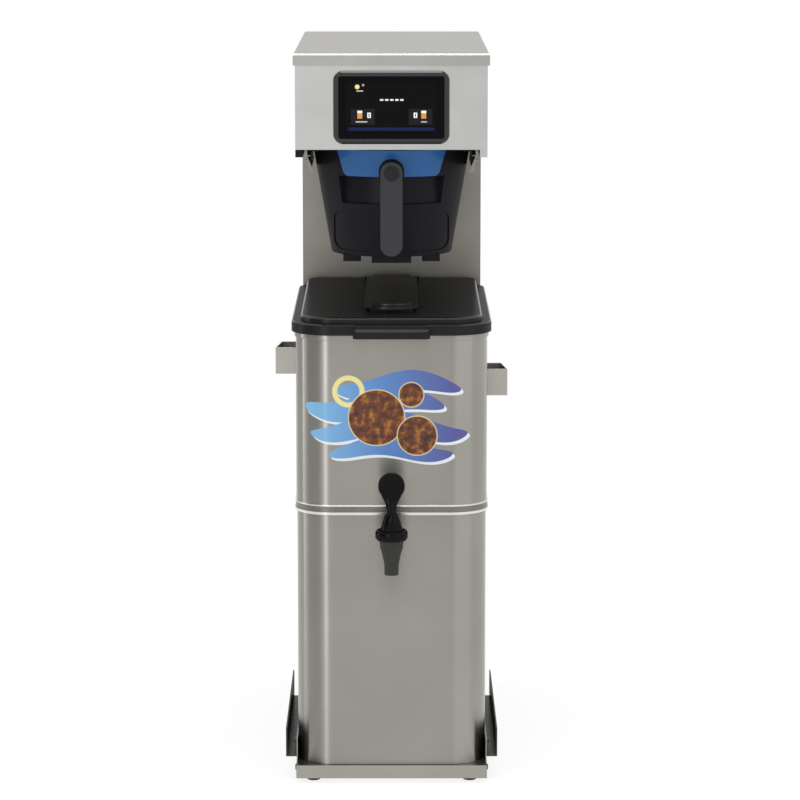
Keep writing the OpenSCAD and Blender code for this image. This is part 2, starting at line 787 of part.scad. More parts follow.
module hairpin(gap, depth) {
    for (s = [-1, 1]) translate([s * gap / 2, 0, -depth]) cylinder(r = 3.6, h = depth);
    translate([0, 0, -depth]) rotate([90, 0, 0]) rotate_extrude(angle = 180, convexity = 4)
        translate([gap / 2, 0]) circle(3.6);
}

module heating_element() color("#8a8d90") from_front() translate([element_x, boiler_mid, boiler_top]) {
    translate([0, 0, -3]) cylinder(r = 16.8, h = 3 + boiler_lid_t);
    translate([0, 0, boiler_lid_t]) cylinder(r = 22, h = 5, $fn = 6);
    for (x = [-1, 1]) translate([x * element_gap / 2, 0, boiler_lid_t]) cylinder(r = 2.5, h = 18);
    for (y = [-10, 0, 10]) translate([0, y, -2]) rotate([180, 0, 180]) mirror([0, 0, 1])
        hairpin(element_gap, boiler_h * 0.84);
}

module probe(x, length) translate([x, boiler_mid, boiler_top]) {
    translate([0, 0, -length]) cylinder(r = 3, h = length + boiler_lid_t + 1);
    translate([0, 0, boiler_lid_t]) cylinder(r = 6.5, h = 6, $fn = 6);
    translate([0, 0, boiler_lid_t + 5]) cylinder(r = 2.5, h = 12);
}

module temperature_probe() color("gainsboro") from_front() probe(probe_x, boiler_h * 0.5);

module level_probe() color("gainsboro") from_front() probe(level_x, boiler_h * 0.24);

module tank_shelf() color("silver") from_front() difference() {
    union() {
        block(
            machine_w - 2 * sheet, column_y + sheet, rear_y - 2 * sheet,
            boiler_z - sheet, boiler_z
        );
        both_sides() slab(
            machine_w / 2 - 2 * sheet, machine_w / 2 - sheet, column_y + sheet, rear_y - 2 * sheet,
            boiler_z - 20, boiler_z
        );
    }
    translate([service_x, boiler_mid, boiler_z - 5]) cylinder(r = 6, h = 8);
}

// Water inlet

module water_inlet_fitting() color("goldenrod") from_front() translate([service_x, 0, service_z]) difference() {
    union() {
        translate([0, rear_y - 12, 0]) rod_y(inlet_r, 12 + sheet + inlet_l);
        translate([0, rear_y - 6, 0]) rotate([-90, 0, 0]) cylinder(r = 11, h = 6, $fn = 6);
        translate([0, machine_d, 0]) rotate([-90, 0, 0]) cylinder(r = 9, h = 3, $fn = 6);
    }
    translate([0, rear_y - 13, 0]) rod_y(3.4, 20 + sheet + inlet_l);
}

module inlet_valve() color("#3c4a66") from_front() translate([service_x, 0, 0]) {
    difference() {
        union() {
            block(30, rear_y - 58, rear_y - 12.1, service_z - 14, service_z + 14);
            translate([0, boiler_mid, service_z + 13]) cylinder(r = 5, h = 24);
        }
        translate([0, rear_y - 40, service_z]) rod_y(3.4, 40);
        translate([0, boiler_mid, service_z - 4]) cylinder(r = 3.4, h = 60);
    }
    translate([-15 - 32, rear_y - 35, service_z]) rod_x(13, 32.2);
}

module inlet_hose() color("#c9cdd0") from_front() translate([service_x, boiler_mid, service_z + 16]) difference() {
    cylinder(r = hose_r, h = boiler_z - 4 - service_z - 16);
    translate([0, 0, -1]) cylinder(r = 5.05, h = boiler_z);
}

// Mains supply

module terminal_block() color("#26282b") from_front() translate([-service_x, 0, 0]) difference() {
    block(44, rear_y - 22, rear_y, service_z + 22, service_z + 46);
    for (x = [-15, 0, 15]) translate([x, rear_y - 16, service_z + 21]) cylinder(r = 3, h = 12);
    for (x = [-15, 0, 15]) translate([x, rear_y - 23, service_z + 38]) rod_y(3, 6);
}

module cord_gland() color("#1c1c1c") from_front() translate([-service_x, 0, service_z]) difference() {
    union() {
        translate([0, rear_y - 10, 0]) rod_y(gland_r, 10 + sheet + 12);
        translate([0, rear_y - 6, 0]) rotate([-90, 0, 0]) cylinder(r = 12.5, h = 6, $fn = 6);
        translate([0, machine_d, 0]) rotate([-90, 0, 0]) cylinder(r = 11, h = 5, $fn = 6);
        translate([0, machine_d + 5, 0]) rotate([-90, 0, 0]) cylinder(r1 = 10.5, r2 = 8.5, h = 9);
    }
    translate([0, rear_y - 11, 0]) rod_y(4.5, 40);
}

module switch_housing() color("#1c1c1c") from_front() translate([0, 0, switch_z]) difference() {
    union() {
        block(switch_w, machine_d, machine_d + 2, -switch_h / 2, switch_h / 2);
        block(switch_w - 4, rear_y - 22, machine_d + 1, -switch_h / 2 + 2, switch_h / 2 - 2);
    }
    block(switch_w - 7, machine_d - 9, machine_d + 3, -switch_h / 2 + 3.5, switch_h / 2 - 3.5);
    translate([-switch_w / 2 + 2.1, machine_d - 2, 0]) rod_x(rocker_pin_r + pin_play, switch_w - 4.2);
}

// The rocker's outline seen from the side: two faces that meet at the pivot line
module switch_rocker() color("#a01818") from_front() translate([0, machine_d - 2, switch_z]) {
    half = switch_h / 2 - 5.9;
    translate([-(switch_w - 8) / 2, 0, 0]) rotate([90, 0, 90]) linear_extrude(switch_w - 8)
        polygon([[-3, -half + 2.4], [1.6, -half], [3.2, 0], [5.6, half], [-3, half - 2.4]]);
    translate([-switch_w / 2 + 2.2, 0, 0]) rod_x(rocker_pin_r, switch_w - 4.4);
}

// Brew cone

// The cone as a solid, grown outwards by a distance
module cone_solid(grow) rotate_extrude() polygon([
    [0, cone_floor - grow], [cone_r(cone_floor) + grow, cone_floor - grow],
    [cone_r(cone_top) + grow, cone_top + grow], [0, cone_top + grow]
]);

// A ring sector centred on the front, drawn from a profile of radius and height
module front_sector(half_angle) rotate([0, 0, -90 - half_angle])
    rotate_extrude(angle = 2 * half_angle) children();

module cone_cavity() difference() {
    rotate_extrude() polygon([
        [0, cone_floor + cone_wall], [cone_r(cone_floor + cone_wall) - cone_wall, cone_floor + cone_wall],
        [cone_r(cone_top + 1) - cone_wall, cone_top + 1], [0, cone_top + 1]
    ]);
    front_sector(recess_angle + 3) polygon([
        [recess_r - cone_wall, band_top - cone_wall], [cone_r(cone_top) + 5, band_top - cone_wall],
        [cone_r(cone_top) + 5, recess_top + cone_wall], [recess_r - cone_wall, recess_top + cone_wall]
    ]);
}

module brew_cone() color("#2b2b30") from_front() translate([0, cone_y, 0]) difference() {
    union() {
        cone_solid(0);
        both_sides() slab(
            ear_x - 12, ear_x, -ear_l / 2, ear_l / 2, cone_top - ear_h, cone_top
        );
        both_sides() slab(38, 60, -52, -36, cone_floor - cone_foot_h, cone_floor + 1);
        block(49, -70, -56, cone_floor - cone_foot_h, cone_floor + 1);
        block(49, 50, 64, cone_floor - cone_foot_h, cone_floor + 1);
        translate([0, 0, cone_floor - cone_foot_h]) cylinder(r = drain_r + 4, h = cone_foot_h + 1);
    }
    cone_cavity();
    front_sector(recess_angle) polygon([
        [recess_r, band_top], [cone_r(cone_top) + 5, band_top],
        [cone_r(cone_top) + 5, recess_top], [recess_r, recess_top]
    ]);
    for (s = [-1, 1]) intersection() {
        translate([s * 44, -cone_top_d / 2, cone_floor + 31]) upright(cone_top_d / 2) rounded(55, 50, 12);
        difference() {
            cone_solid(3);
            cone_solid(-1.2);
        }
    }
    translate([0, 0, cone_floor - cone_foot_h - 1]) cylinder(r = drain_r, h = cone_foot_h + 10);
    handle_screw_places() translate([0, -12, 0]) rod_y(screw_r + 0.1, 24);
}

// Places of the handle's screws on the cone's front wall, seen from the cone's axis
module handle_screw_places() {
    for (z = [low_arm_z + arm_h / 2, top_arm_z + arm_h / 2])
        translate([0, -cone_r(z) + cone_wall, z]) children();
}

module cone_label() color("#3470b4") from_front() translate([0, cone_y, 0]) difference() {
    z0 = recess_top + 0.5;
    intersection() {
        difference() {
            cone_solid(label_t + 0.1);
            cone_solid(0.1);
        }
        translate([0, -cone_top_d, 0]) upright(cone_top_d) polygon([
            [-label_bottom_w / 2 + 4, z0], [label_bottom_w / 2 - 4, z0],
            [label_bottom_w / 2, z0 + 4], [label_top_w / 2, z0 + label_h],
            [-label_top_w / 2, z0 + label_h], [-label_bottom_w / 2, z0 + 4]
        ]);
    }
    translate([0, -cone_top_d, handle_z + handle_l - handle_w / 2]) upright(cone_top_d) circle(handle_w / 2 + 2);
    translate([0, -cone_top_d, 0]) block(handle_w + 4, 0, cone_top_d, z0 - 1, handle_z + handle_l - handle_w / 2);
}

module cone_handle() color("#4f4f54") from_front() difference() {
    union() {
        translate([0, handle_y, 0]) difference() {
            upright(handle_t) {
                translate([0, handle_z + handle_w / 2]) circle(handle_w / 2);
                translate([0, handle_z + handle_l - handle_w / 2]) circle(handle_w / 2);
                translate([-handle_w / 2, handle_z + handle_w / 2]) square([handle_w, handle_l - handle_w]);
            }
            translate([0, -1, handle_z + handle_l - handle_w / 2]) rod_y(badge_d / 2 + 0.1, 1.8);
        }
        for (z = [low_arm_z, top_arm_z])
            block(arm_w, handle_y + handle_t - 1, cone_y - cone_bottom_d / 2 + 5, z, z + arm_h);
    }
    translate([0, cone_y, 0]) cone_solid(0.15);
    translate([0, cone_y, 0]) handle_screw_places() translate([0, -14, 0]) rod_y(screw_r + 0.05, 16);
}

module handle_badge() color("#3a3a3e") from_front()
    translate([0, handle_y + 0.1, handle_z + handle_l - handle_w / 2]) rod_y(badge_d / 2, 0.7);

module handle_screws() color("gainsboro") from_front() translate([0, cone_y, 0])
    handle_screw_places() translate([0, 0.7, 0]) rotate([-90, 0, 0]) {
        cylinder(r = screw_head_r, h = screw_head_h);
        translate([0, 0, -12]) cylinder(r = screw_r, h = 12.5);
    }

module filter_basket() color("gainsboro") from_front() translate([0, cone_y, 0]) {
    z0 = cone_floor + cone_wall + seat_gap;
    z1 = cone_top - 14;
    r0 = cone_r(cone_floor) - cone_wall - 12;
    r1 = recess_r - cone_wall - 3;
    lean = atan((r1 - r0) / (z1 - z0));
    run = (z1 - z0) / cos(lean);
    for (t = [0, 0.34, 0.67, 1]) translate([0, 0, z0 + 1.2 + t * (z1 - z0 - 1.2)])
        rotate_extrude() translate([r0 + t * (r1 - r0), 0]) circle(1.2, $fn = 16);
    for (i = [0 : 11]) rotate([0, 0, i * 30 + 15]) translate([r0, 0, z0 + 0.8])
        rotate([0, lean, 0]) cylinder(r = 0.9, h = run - 0.6, $fn = 16);
    for (a = [0, 60, 120]) rotate([0, 0, a]) translate([-r0, 0, z0 + 1.2]) rod_x(0.9, 2 * r0);
}

// Tea dispenser

module tank_ring(outset, inset, z0, z1) translate([0, 0, z0]) linear_extrude(z1 - z0) difference() {
    tank_plan(-outset);
    tank_plan(inset);
}

module tea_tank() color("silver") from_front() difference() {
    union() {
        tank_ring(0, tank_wall, ledge_mid - tank_wall, rim_z);
        tank_ring(rim_out, tank_wall, rim_z - rim_h, rim_z);
        tank_ring(0, sump_in + tank_wall, ledge_mid - tank_wall, ledge_mid);
        tank_ring(seam_out, tank_wall, ledge_mid - tank_wall, seam_top);
        tank_ring(seam_out, seam_inset, seam_bottom, ledge_mid);
        translate([0, 0, sump_floor]) linear_extrude(ledge_mid - sump_floor) difference() {
            tank_plan(sump_in);
            tank_plan(sump_in + tank_wall);
        }
        translate([0, 0, sump_floor]) linear_extrude(tank_wall) tank_plan(sump_in);
    }
    tank_ring(seam_out + 1, -seam_groove, seam_bottom + 3.6, seam_top - 1.8);
    translate([0, tank_setback - 2, tap_z]) rod_y(shank_r + 0.2, 12);
}

module dispenser_skirt() color("silver") from_front() difference() {
    union() {
        translate([0, 0, stand_z]) linear_extrude(ledge_mid - tank_wall - seat_gap - stand_z) difference() {
            tank_plan(skirt_inset);
            tank_plan(skirt_inset + tank_wall);
        }
        translate([0, 0, stand_z]) linear_extrude(tank_wall) difference() {
            tank_plan(skirt_inset);
            tank_plan(skirt_inset + 12);
        }
    }
    translate([0, tank_setback - 2, tap_z]) rod_y(shank_r + 0.6, 8);
}

// A strap bent into a loop beside the tank's right wall
module strap_handle(z) translate([0, 0, z]) linear_extrude(strap_h) {
    x0 = tank_side;
    x1 = tank_side + strap_reach;
    y0 = tank_setback + strap_setback;
    y1 = y0 + strap_l;
    polygon([
        [x0, y0 + strap_tab], [x0, y0], [x1, y0], [x1 - strap_slant, y1], [x0, y1], [x0, y1 - strap_tab],
        [x0 + strap_t, y1 - strap_tab], [x0 + strap_t, y1 - strap_t],
        [x1 - strap_slant - strap_t * 0.8, y1 - strap_t],
        [x1 - strap_t, y0 + strap_t], [x0 + strap_t, y0 + strap_t], [x0 + strap_t, y0 + strap_tab]
    ]);
}

module right_strap_handle() color("silver") from_front() strap_handle(right_strap_z);

module left_strap_handle() color("silver") from_front() mirror([1, 0, 0]) strap_handle(left_strap_z);

// Lid

module lid_slab(inset, z0, z1) translate([0, 0, z0]) linear_extrude(z1 - z0) lid_plan(inset);

module dispenser_lid() color("#222222") from_front() difference() {
    union() {
        lid_slab(0, lid_bottom, lid_top);
        lid_slab(plateau_inset, lid_top - 1, plateau_z);
        block(tab_w, lid_y0 - tab_reach, lid_y0 + lid_wall, lid_top - tab_h - 4, lid_top - 1);
        block(curb_w, flap_y0 + 10, flap_y0 + 10 + slot_l + 8, plateau_z - 1, plateau_z + curb_h);
        both_sides() hinge_knuckle();
    }
    lid_slab(lid_wall, lid_bottom - 1, lid_z);
    lid_slab(plateau_inset + lid_wall, lid_z - 1, plateau_z - lid_wall);
    block(slot_w, flap_y0 + 14, flap_y0 + 14 + slot_l, lid_z - 2, plateau_z + curb_h + 1);
    block(flap_w - 4, flap_y0 - 10, flap_y0 + 6, plateau_z - 0.8, plateau_z + 1);
    block(tab_w - 2 * lid_wall, lid_y0 - tab_reach + lid_wall, lid_y0 + 12, lid_top - tab_h - 5, lid_top - 1 - lid_wall);
    translate([-flap_w, hinge_y, hinge_z]) rod_x(flap_pin_r + 0.02, 2 * flap_w);
}

// One ear of the flap's hinge, with a round head about the pin
module hinge_knuckle() translate([flap_w / 2 + 0.8, hinge_y, 0]) {
    translate([0, 0, hinge_z]) rod_x(barrel_r, knuckle_t);
    slab(0, knuckle_t, -barrel_r, barrel_r, plateau_z - 1, hinge_z);
}

module lid_flap() color("#262626") from_front() difference() {
    union() {
        translate([0, 0, flap_z]) linear_extrude(flap_t) flap_outline(0);
        translate([0, 0, flap_z]) linear_extrude(flap_t + flap_panel_h) flap_outline((flap_w - flap_panel_w) / 2);
        translate([-flap_w / 2, hinge_y, hinge_z]) rod_x(barrel_r, flap_w);
    }
    translate([-flap_w, hinge_y, hinge_z]) rod_x(flap_pin_r + pin_play, 2 * flap_w);
}

// The flap from above: a long plate whose front lip is an arc, drawn in by a distance
module flap_outline(inset) {
    w = flap_w - 2 * inset;
    y0 = flap_y0 + flap_bulge + inset;
    y1 = hinge_y - (inset > 0 ? inset + 2 : 0);
    translate([-w / 2, y0]) square([w, y1 - y0]);
    intersection() {
        translate([0, flap_y0 + lip_r]) circle(lip_r - inset);
        translate([-w / 2, flap_y0 - 1]) square([w, 2 * flap_bulge]);
    }
}

module flap_pin() color("gainsboro") from_front()
    translate([-flap_w / 2 - 0.8 - knuckle_t, hinge_y, hinge_z]) rod_x(flap_pin_r, flap_w + 1.6 + 2 * knuckle_t);

// Tap

module tap_body() color("#3b3d40") from_front() difference() {
    union() {
        translate([0, tap_y, 0]) rotate_extrude() polygon([
            [0, collar_z - spout_h], [spout_r, collar_z - spout_h], [spout_r + 0.2, collar_z - spout_h + 13],
            [spout_top_r, collar_z], [spout_top_r, collar_z + socket_h], [0, collar_z + socket_h]
        ]);
        translate([0, tap_y, tap_z]) rod_y(shank_r, tap_reach + 24);
        translate([0, tank_setback + skirt_inset - 7.5, tap_z]) rod_y(14, 5);
        translate([0, tap_y + 8, tap_z]) rod_y(10.5, tap_reach - 13);
    }
    translate([0, tap_y, collar_z - spout_h - 1]) cylinder(r = spout_r - 2, h = seat_z + 2 - collar_z + spout_h);
    translate([0, tap_y, seat_z]) cylinder(r = chamber_r, h = collar_z + 5 - seat_z);
    translate([0, tap_y, tap_z]) rod_y(4.5, tap_reach + 26);
}

module tap_collar() color("#1f1f20") from_front() translate([0, tap_y, 0]) difference() {
    rotate_extrude() polygon([
        [0, collar_z], [collar_r - 2.4, collar_z], [collar_r, collar_z + 3.6], [collar_r, collar_top - 3],
        [collar_r - 2, collar_top], [0, collar_top]
    ]);
    translate([0, 0, collar_z - 1]) cylinder(r = spout_top_r + 0.1, h = socket_h + 1.2);
    translate([0, 0, collar_z]) cylinder(r = stem_r + 0.3, h = collar_h);
    difference() {
        translate([0, 0, cup_floor]) cylinder(r = cup_r, h = collar_h);
        both_sides() slab(8.6, 11.4, -3.2, 3.2, cup_floor - 1, pillar_top);
    }
    both_sides() slab(pin_end, collar_r + 1, -4, 4, lever_z - 3.6, lever_z + 3.6);
    translate([-collar_r, 0, lever_z]) rod_x(1.52, 2 * collar_r);
}

module tap_pin() color("gainsboro") from_front() translate([-pin_end, tap_y, lever_z]) rod_x(1.5, 2 * pin_end);

module tap_lever() color("#1f1f20") from_front() translate([0, tap_y, 0]) difference() {
    union() {
        translate([-8, 0, lever_z]) rod_x(hub_r, 16);
        block(12, -4, 4, lever_z, collar_top + 2);
        rotate_extrude() polygon([
            [0, collar_top - 1.5], [13.5, collar_top - 1.5], [14.2, collar_top + 1], [6.2, knob_z - 24],
            [6.2, knob_z - 10], [0, knob_z - 10]
        ]);
        translate([0, -knob_t / 2, knob_z]) rod_y(knob_d / 2, knob_t);
    }
    translate([-9, 0, lever_z]) rod_x(1.5 + pin_play, 18);
    block(2 * stem_r + 1.6, -5.2, 5.2, lever_z - 6, lever_z + 5 + stem_lift);
}

module tap_stem() color("gainsboro") from_front() translate([0, tap_y, 0]) difference() {
    translate([0, 0, seat_z + 1]) cylinder(r = stem_r, h = lever_z + 4 - seat_z - 1);
    block(2 * stem_r + 1, -1.6, 1.6, lever_z - 1.6 - stem_lift, lever_z + 1.6);
}

module seat_cup() color("#b9b5a8") from_front() translate([0, tap_y, 0]) rotate_extrude() polygon([
    [stem_r + 0.05, seat_z + 0.3], [chamber_r - 0.7, seat_z + 0.3],
    [chamber_r - 0.7, seat_z + 3], [stem_r + 0.05, seat_z + 7]
]);

module shank_nut() color("#e6e3da") from_front() translate([0, tank_setback + sump_in + tank_wall + 2.4, tap_z])
    rotate([-90, 0, 0]) difference() {
        cylinder(r = 15, h = 8, $fn = 6);
        translate([0, 0, -1]) cylinder(r = shank_r + 0.05, h = 10);
    }

module shank_washers() color("#8c8c86") from_front() {
    for (y = [tank_setback + skirt_inset - 2.4, tank_setback + sump_in + tank_wall + 0.1])
        translate([0, y, tap_z]) difference() {
            rod_y(13, 2.2);
            translate([0, -1, 0]) rod_y(shank_r + 0.1, 5);
        }
}

base_pan();
base_bottom_plate();
rubber_feet();
foot_studs();
left_side_channel();
right_side_channel();
side_screws();
column_shell();
column_screws();
rear_panel();
panel_screws();
head_body();
head_front_panel();
head_top_cover();
rail_end_cap();
left_cone_rail();
right_cone_rail();
display_bezel();
display_glass();
display_module();
control_board();
board_standoffs();
spray_head();
spray_head_nut();
spray_hose();
dispense_valve();
heating_tank();
heating_tank_lid();
heating_element();
temperature_probe();
level_probe();
tank_shelf();
inlet_valve();
inlet_hose();
water_inlet_fitting();
terminal_block();
cord_gland();
switch_housing();
switch_rocker();
brew_cone();
cone_label();
cone_handle();
handle_badge();
handle_screws();
filter_basket();
tea_tank();
dispenser_skirt();
left_strap_handle();
right_strap_handle();
dispenser_lid();
lid_flap();
flap_pin();
tap_body();
tap_collar();
tap_lever();
tap_pin();
tap_stem();
seat_cup();
shank_nut();
shank_washers();
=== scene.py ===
# %% [markdown]
# # A narrow iced tea brewer, dressed in Blender
#
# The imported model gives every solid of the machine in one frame, in metres, with the front
# towards -Y. The cells below give each visible piece its form and its finish: brushed
# stainless sheet, moulded black plastic, a blue label, smoke-coloured tap and touch glass.

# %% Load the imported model
import json
import math
import bpy
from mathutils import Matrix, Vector

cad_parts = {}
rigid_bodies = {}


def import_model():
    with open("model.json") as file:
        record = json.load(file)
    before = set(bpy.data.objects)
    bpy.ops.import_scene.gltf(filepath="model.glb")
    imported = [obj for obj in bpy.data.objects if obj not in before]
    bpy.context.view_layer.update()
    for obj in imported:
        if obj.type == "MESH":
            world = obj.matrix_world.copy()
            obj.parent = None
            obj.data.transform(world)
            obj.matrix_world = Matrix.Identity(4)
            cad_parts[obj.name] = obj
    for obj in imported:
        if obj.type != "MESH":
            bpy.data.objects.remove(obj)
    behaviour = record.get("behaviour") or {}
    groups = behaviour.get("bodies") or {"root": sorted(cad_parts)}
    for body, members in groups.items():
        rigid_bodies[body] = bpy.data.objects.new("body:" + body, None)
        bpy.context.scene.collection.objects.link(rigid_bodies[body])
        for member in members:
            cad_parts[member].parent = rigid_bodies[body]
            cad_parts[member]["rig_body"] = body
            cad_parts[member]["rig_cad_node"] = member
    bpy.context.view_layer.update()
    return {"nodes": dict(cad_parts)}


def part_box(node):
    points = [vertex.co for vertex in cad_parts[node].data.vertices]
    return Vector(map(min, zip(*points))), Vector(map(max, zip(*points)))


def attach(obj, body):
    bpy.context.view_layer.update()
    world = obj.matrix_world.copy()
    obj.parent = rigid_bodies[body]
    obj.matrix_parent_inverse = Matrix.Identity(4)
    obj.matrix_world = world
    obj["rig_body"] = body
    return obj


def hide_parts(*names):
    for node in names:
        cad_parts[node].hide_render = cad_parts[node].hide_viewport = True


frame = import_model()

NODES = frame["nodes"]
MM = 0.001
HEAD_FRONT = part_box("head_front_panel")[0].y

# %% [markdown]
# ## Small helpers
#
# Blender's operators act on whatever is selected, so each step starts from a clean selection.
# Depths are easiest to think of behind the front of the head, so one helper turns such a
# depth in millimetres into the frame's Y.

# %% Selection and depth helpers
def depth(mm):
    return HEAD_FRONT + mm * MM


def only(obj):
    if bpy.context.mode != "OBJECT":
        bpy.ops.object.mode_set(mode="OBJECT")
    bpy.ops.object.select_all(action="DESELECT")
    obj.select_set(True)
    bpy.context.view_layer.objects.active = obj


def edit(obj, kind="VERT"):
    only(obj)
    bpy.ops.object.mode_set(mode="EDIT")
    bpy.ops.mesh.select_mode(type=kind)
    bpy.ops.mesh.select_all(action="DESELECT")


def leave():
    bpy.ops.object.mode_set(mode="OBJECT")


def modify(obj, kind, **settings):
    """Adds one modifier, sets it and applies it at once."""
    only(obj)
    mod = obj.modifiers.new(kind.lower(), kind)
    for key, value in settings.items():
        setattr(mod, key, value)
    bpy.ops.object.modifier_apply(modifier=mod.name)


def smooth(obj, degrees=30):
    """Smooth shading that keeps creases, and flat faces that stay flat beside their bevels."""
    only(obj)
    bpy.ops.object.shade_smooth_by_angle(angle=math.radians(degrees))
    modify(obj, "WEIGHTED_NORMAL", keep_sharp=True)


def settle(obj):
    """Puts the object's place into its mesh and its origin at the world's origin."""
    only(obj)
    bpy.ops.object.transform_apply(location=True, rotation=True, scale=True)
    bpy.context.scene.cursor.location = (0, 0, 0)
    bpy.ops.object.origin_set(type="ORIGIN_CURSOR")


def select_verts(obj, test):
    """Selects, in edit mode, the vertices whose place passes a test."""
    edit(obj)
    leave()
    for v in obj.data.vertices:
        v.select = test(v.co)
    bpy.ops.object.mode_set(mode="EDIT")


def round_edges(obj, width, segments, test):
    """Rounds the sharp edges whose middle passes a test, by a width in millimetres."""
    edit(obj, "EDGE")
    bpy.ops.mesh.edges_select_sharp(sharpness=math.radians(25))
    leave()
    verts = obj.data.vertices
    keep = [e.select and test((verts[e.vertices[0]].co + verts[e.vertices[1]].co) / 2)
            for e in obj.data.edges]
    for item in (*obj.data.vertices, *obj.data.polygons):
        item.select = False
    for e, kept in zip(obj.data.edges, keep):
        e.select = kept
        if kept:
            verts[e.vertices[0]].select = verts[e.vertices[1]].select = True
    bpy.ops.object.mode_set(mode="EDIT")
    bpy.ops.mesh.bevel(offset=width * MM, segments=segments, profile=0.5, clamp_overlap=True, affect="EDGES")
    leave()
    return sum(keep)


print("helpers ready, head front at", round(HEAD_FRONT, 4))

# %% [markdown]
# A folded sheet or a moulding never has knife edges. For pieces whose CAD form is right, a
# copy is merged, its flat faces are joined up, and a narrow bevel rounds what is left. The
# bevel is what catches the thin bright lines along the edges in the photo.

# %% Softened copies of CAD solids
DRESSED = {}


def dress(obj, node, material):
    """Hands a finished piece to the frame: what it stands for, what it rides on, its finish."""
    obj.name = node + "_dressed"
    body = NODES[node]["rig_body"]
    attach(obj, body)
    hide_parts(node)
    obj.data.materials.clear()
    obj.data.materials.append(material)
    DRESSED[node] = obj


def cad_copy(node):
    """A loose copy of a CAD solid, with its points merged and its flat faces joined up."""
    obj = NODES[node].copy()
    obj.data = NODES[node].data.copy()
    obj.parent = None
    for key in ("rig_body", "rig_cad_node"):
        if key in obj:
            del obj[key]
    obj.name = "copy_" + node
    obj.hide_render = False
    bpy.context.scene.collection.objects.link(obj)
    edit(obj)
    bpy.ops.mesh.select_all(action="SELECT")
    bpy.ops.mesh.remove_doubles(threshold=2e-6)
    bpy.ops.mesh.dissolve_limited(angle_limit=math.radians(0.5))
    leave()
    return obj


def softened(node, width, segments=2, angle=35):
    obj = cad_copy(node)
    if width:
        modify(
            obj, "BEVEL", width=width * MM, segments=segments, limit_method="ANGLE",
            angle_limit=math.radians(angle), use_clamp_overlap=True, miter_outer="MITER_ARC",
        )
    smooth(obj)
    return obj


print("softened() ready")

# %% [markdown]
# ## The camera, the light and the floor
#
# The photo was taken from about four metres away with a long lens, a little above the top of
# the machine and tilted nine degrees down.

# %% Camera
PHOTO_SIDE = 800
FOCAL_PIXELS = 3356
SENSOR = 36
TILT_DOWN = 9.13
TURN = -0.09
camera_data = bpy.data.cameras.new("studio_camera")
camera = bpy.data.objects.new("studio_camera", camera_data)
bpy.context.scene.collection.objects.link(camera)
camera_data.sensor_width = SENSOR
camera_data.lens = FOCAL_PIXELS / PHOTO_SIDE * SENSOR
camera.location = (0.004, depth(-3993), 1.118)
camera.rotation_euler = (math.radians(90 - TILT_DOWN), 0, math.radians(TURN))
bpy.context.scene.camera = camera
bpy.context.scene.view_settings.view_transform = "Standard"
print("lens", round(camera_data.lens, 1), "mm")

# %% [markdown]
# ## Materials
#
# Hex colours are what the eye sees on a screen, so one function turns them to linear light.
# One more function adds a node with its settings and links. Every finish below is built from
# these two.

# %% Colour and node helpers
def linear(hex_text):
    values = [int(hex_text[i:i + 2], 16) / 255 for i in (1, 3, 5)]
    return tuple(v / 12.92 if v <= 0.04045 else ((v + 0.055) / 1.055) ** 2.4 for v in values) + (1,)


def add(tree, kind, links=None, inputs=None, **settings):
    node = tree.nodes.new(kind)
    for key, value in settings.items():
        setattr(node, key, value)
    for key, value in (inputs or {}).items():
        node.inputs[key].default_value = value
    for key, socket in (links or {}).items():
        tree.links.new(socket, node.inputs[key])
    return node


def tint(hex_text, gain):
    r, g, b, _ = linear(hex_text)
    return (min(1, r * gain), min(1, g * gain), min(1, b * gain), 1)


print("mid grey is", round(linear("#808080")[0], 3), "in linear light")

# %% [markdown]
# Brushed stainless, mouldings, rubber and castings differ in colour, gloss and grain, but all
# share a plan: a fine pattern with a real size in millimetres drives the colour a little, the
# roughness more, and a very shallow bump. A brushed sheet's pattern is stretched along the
# brushing. Brush lines are about 0.1 mm apart, which is too fine for the picture, so they are
# drawn about six times as coarse.

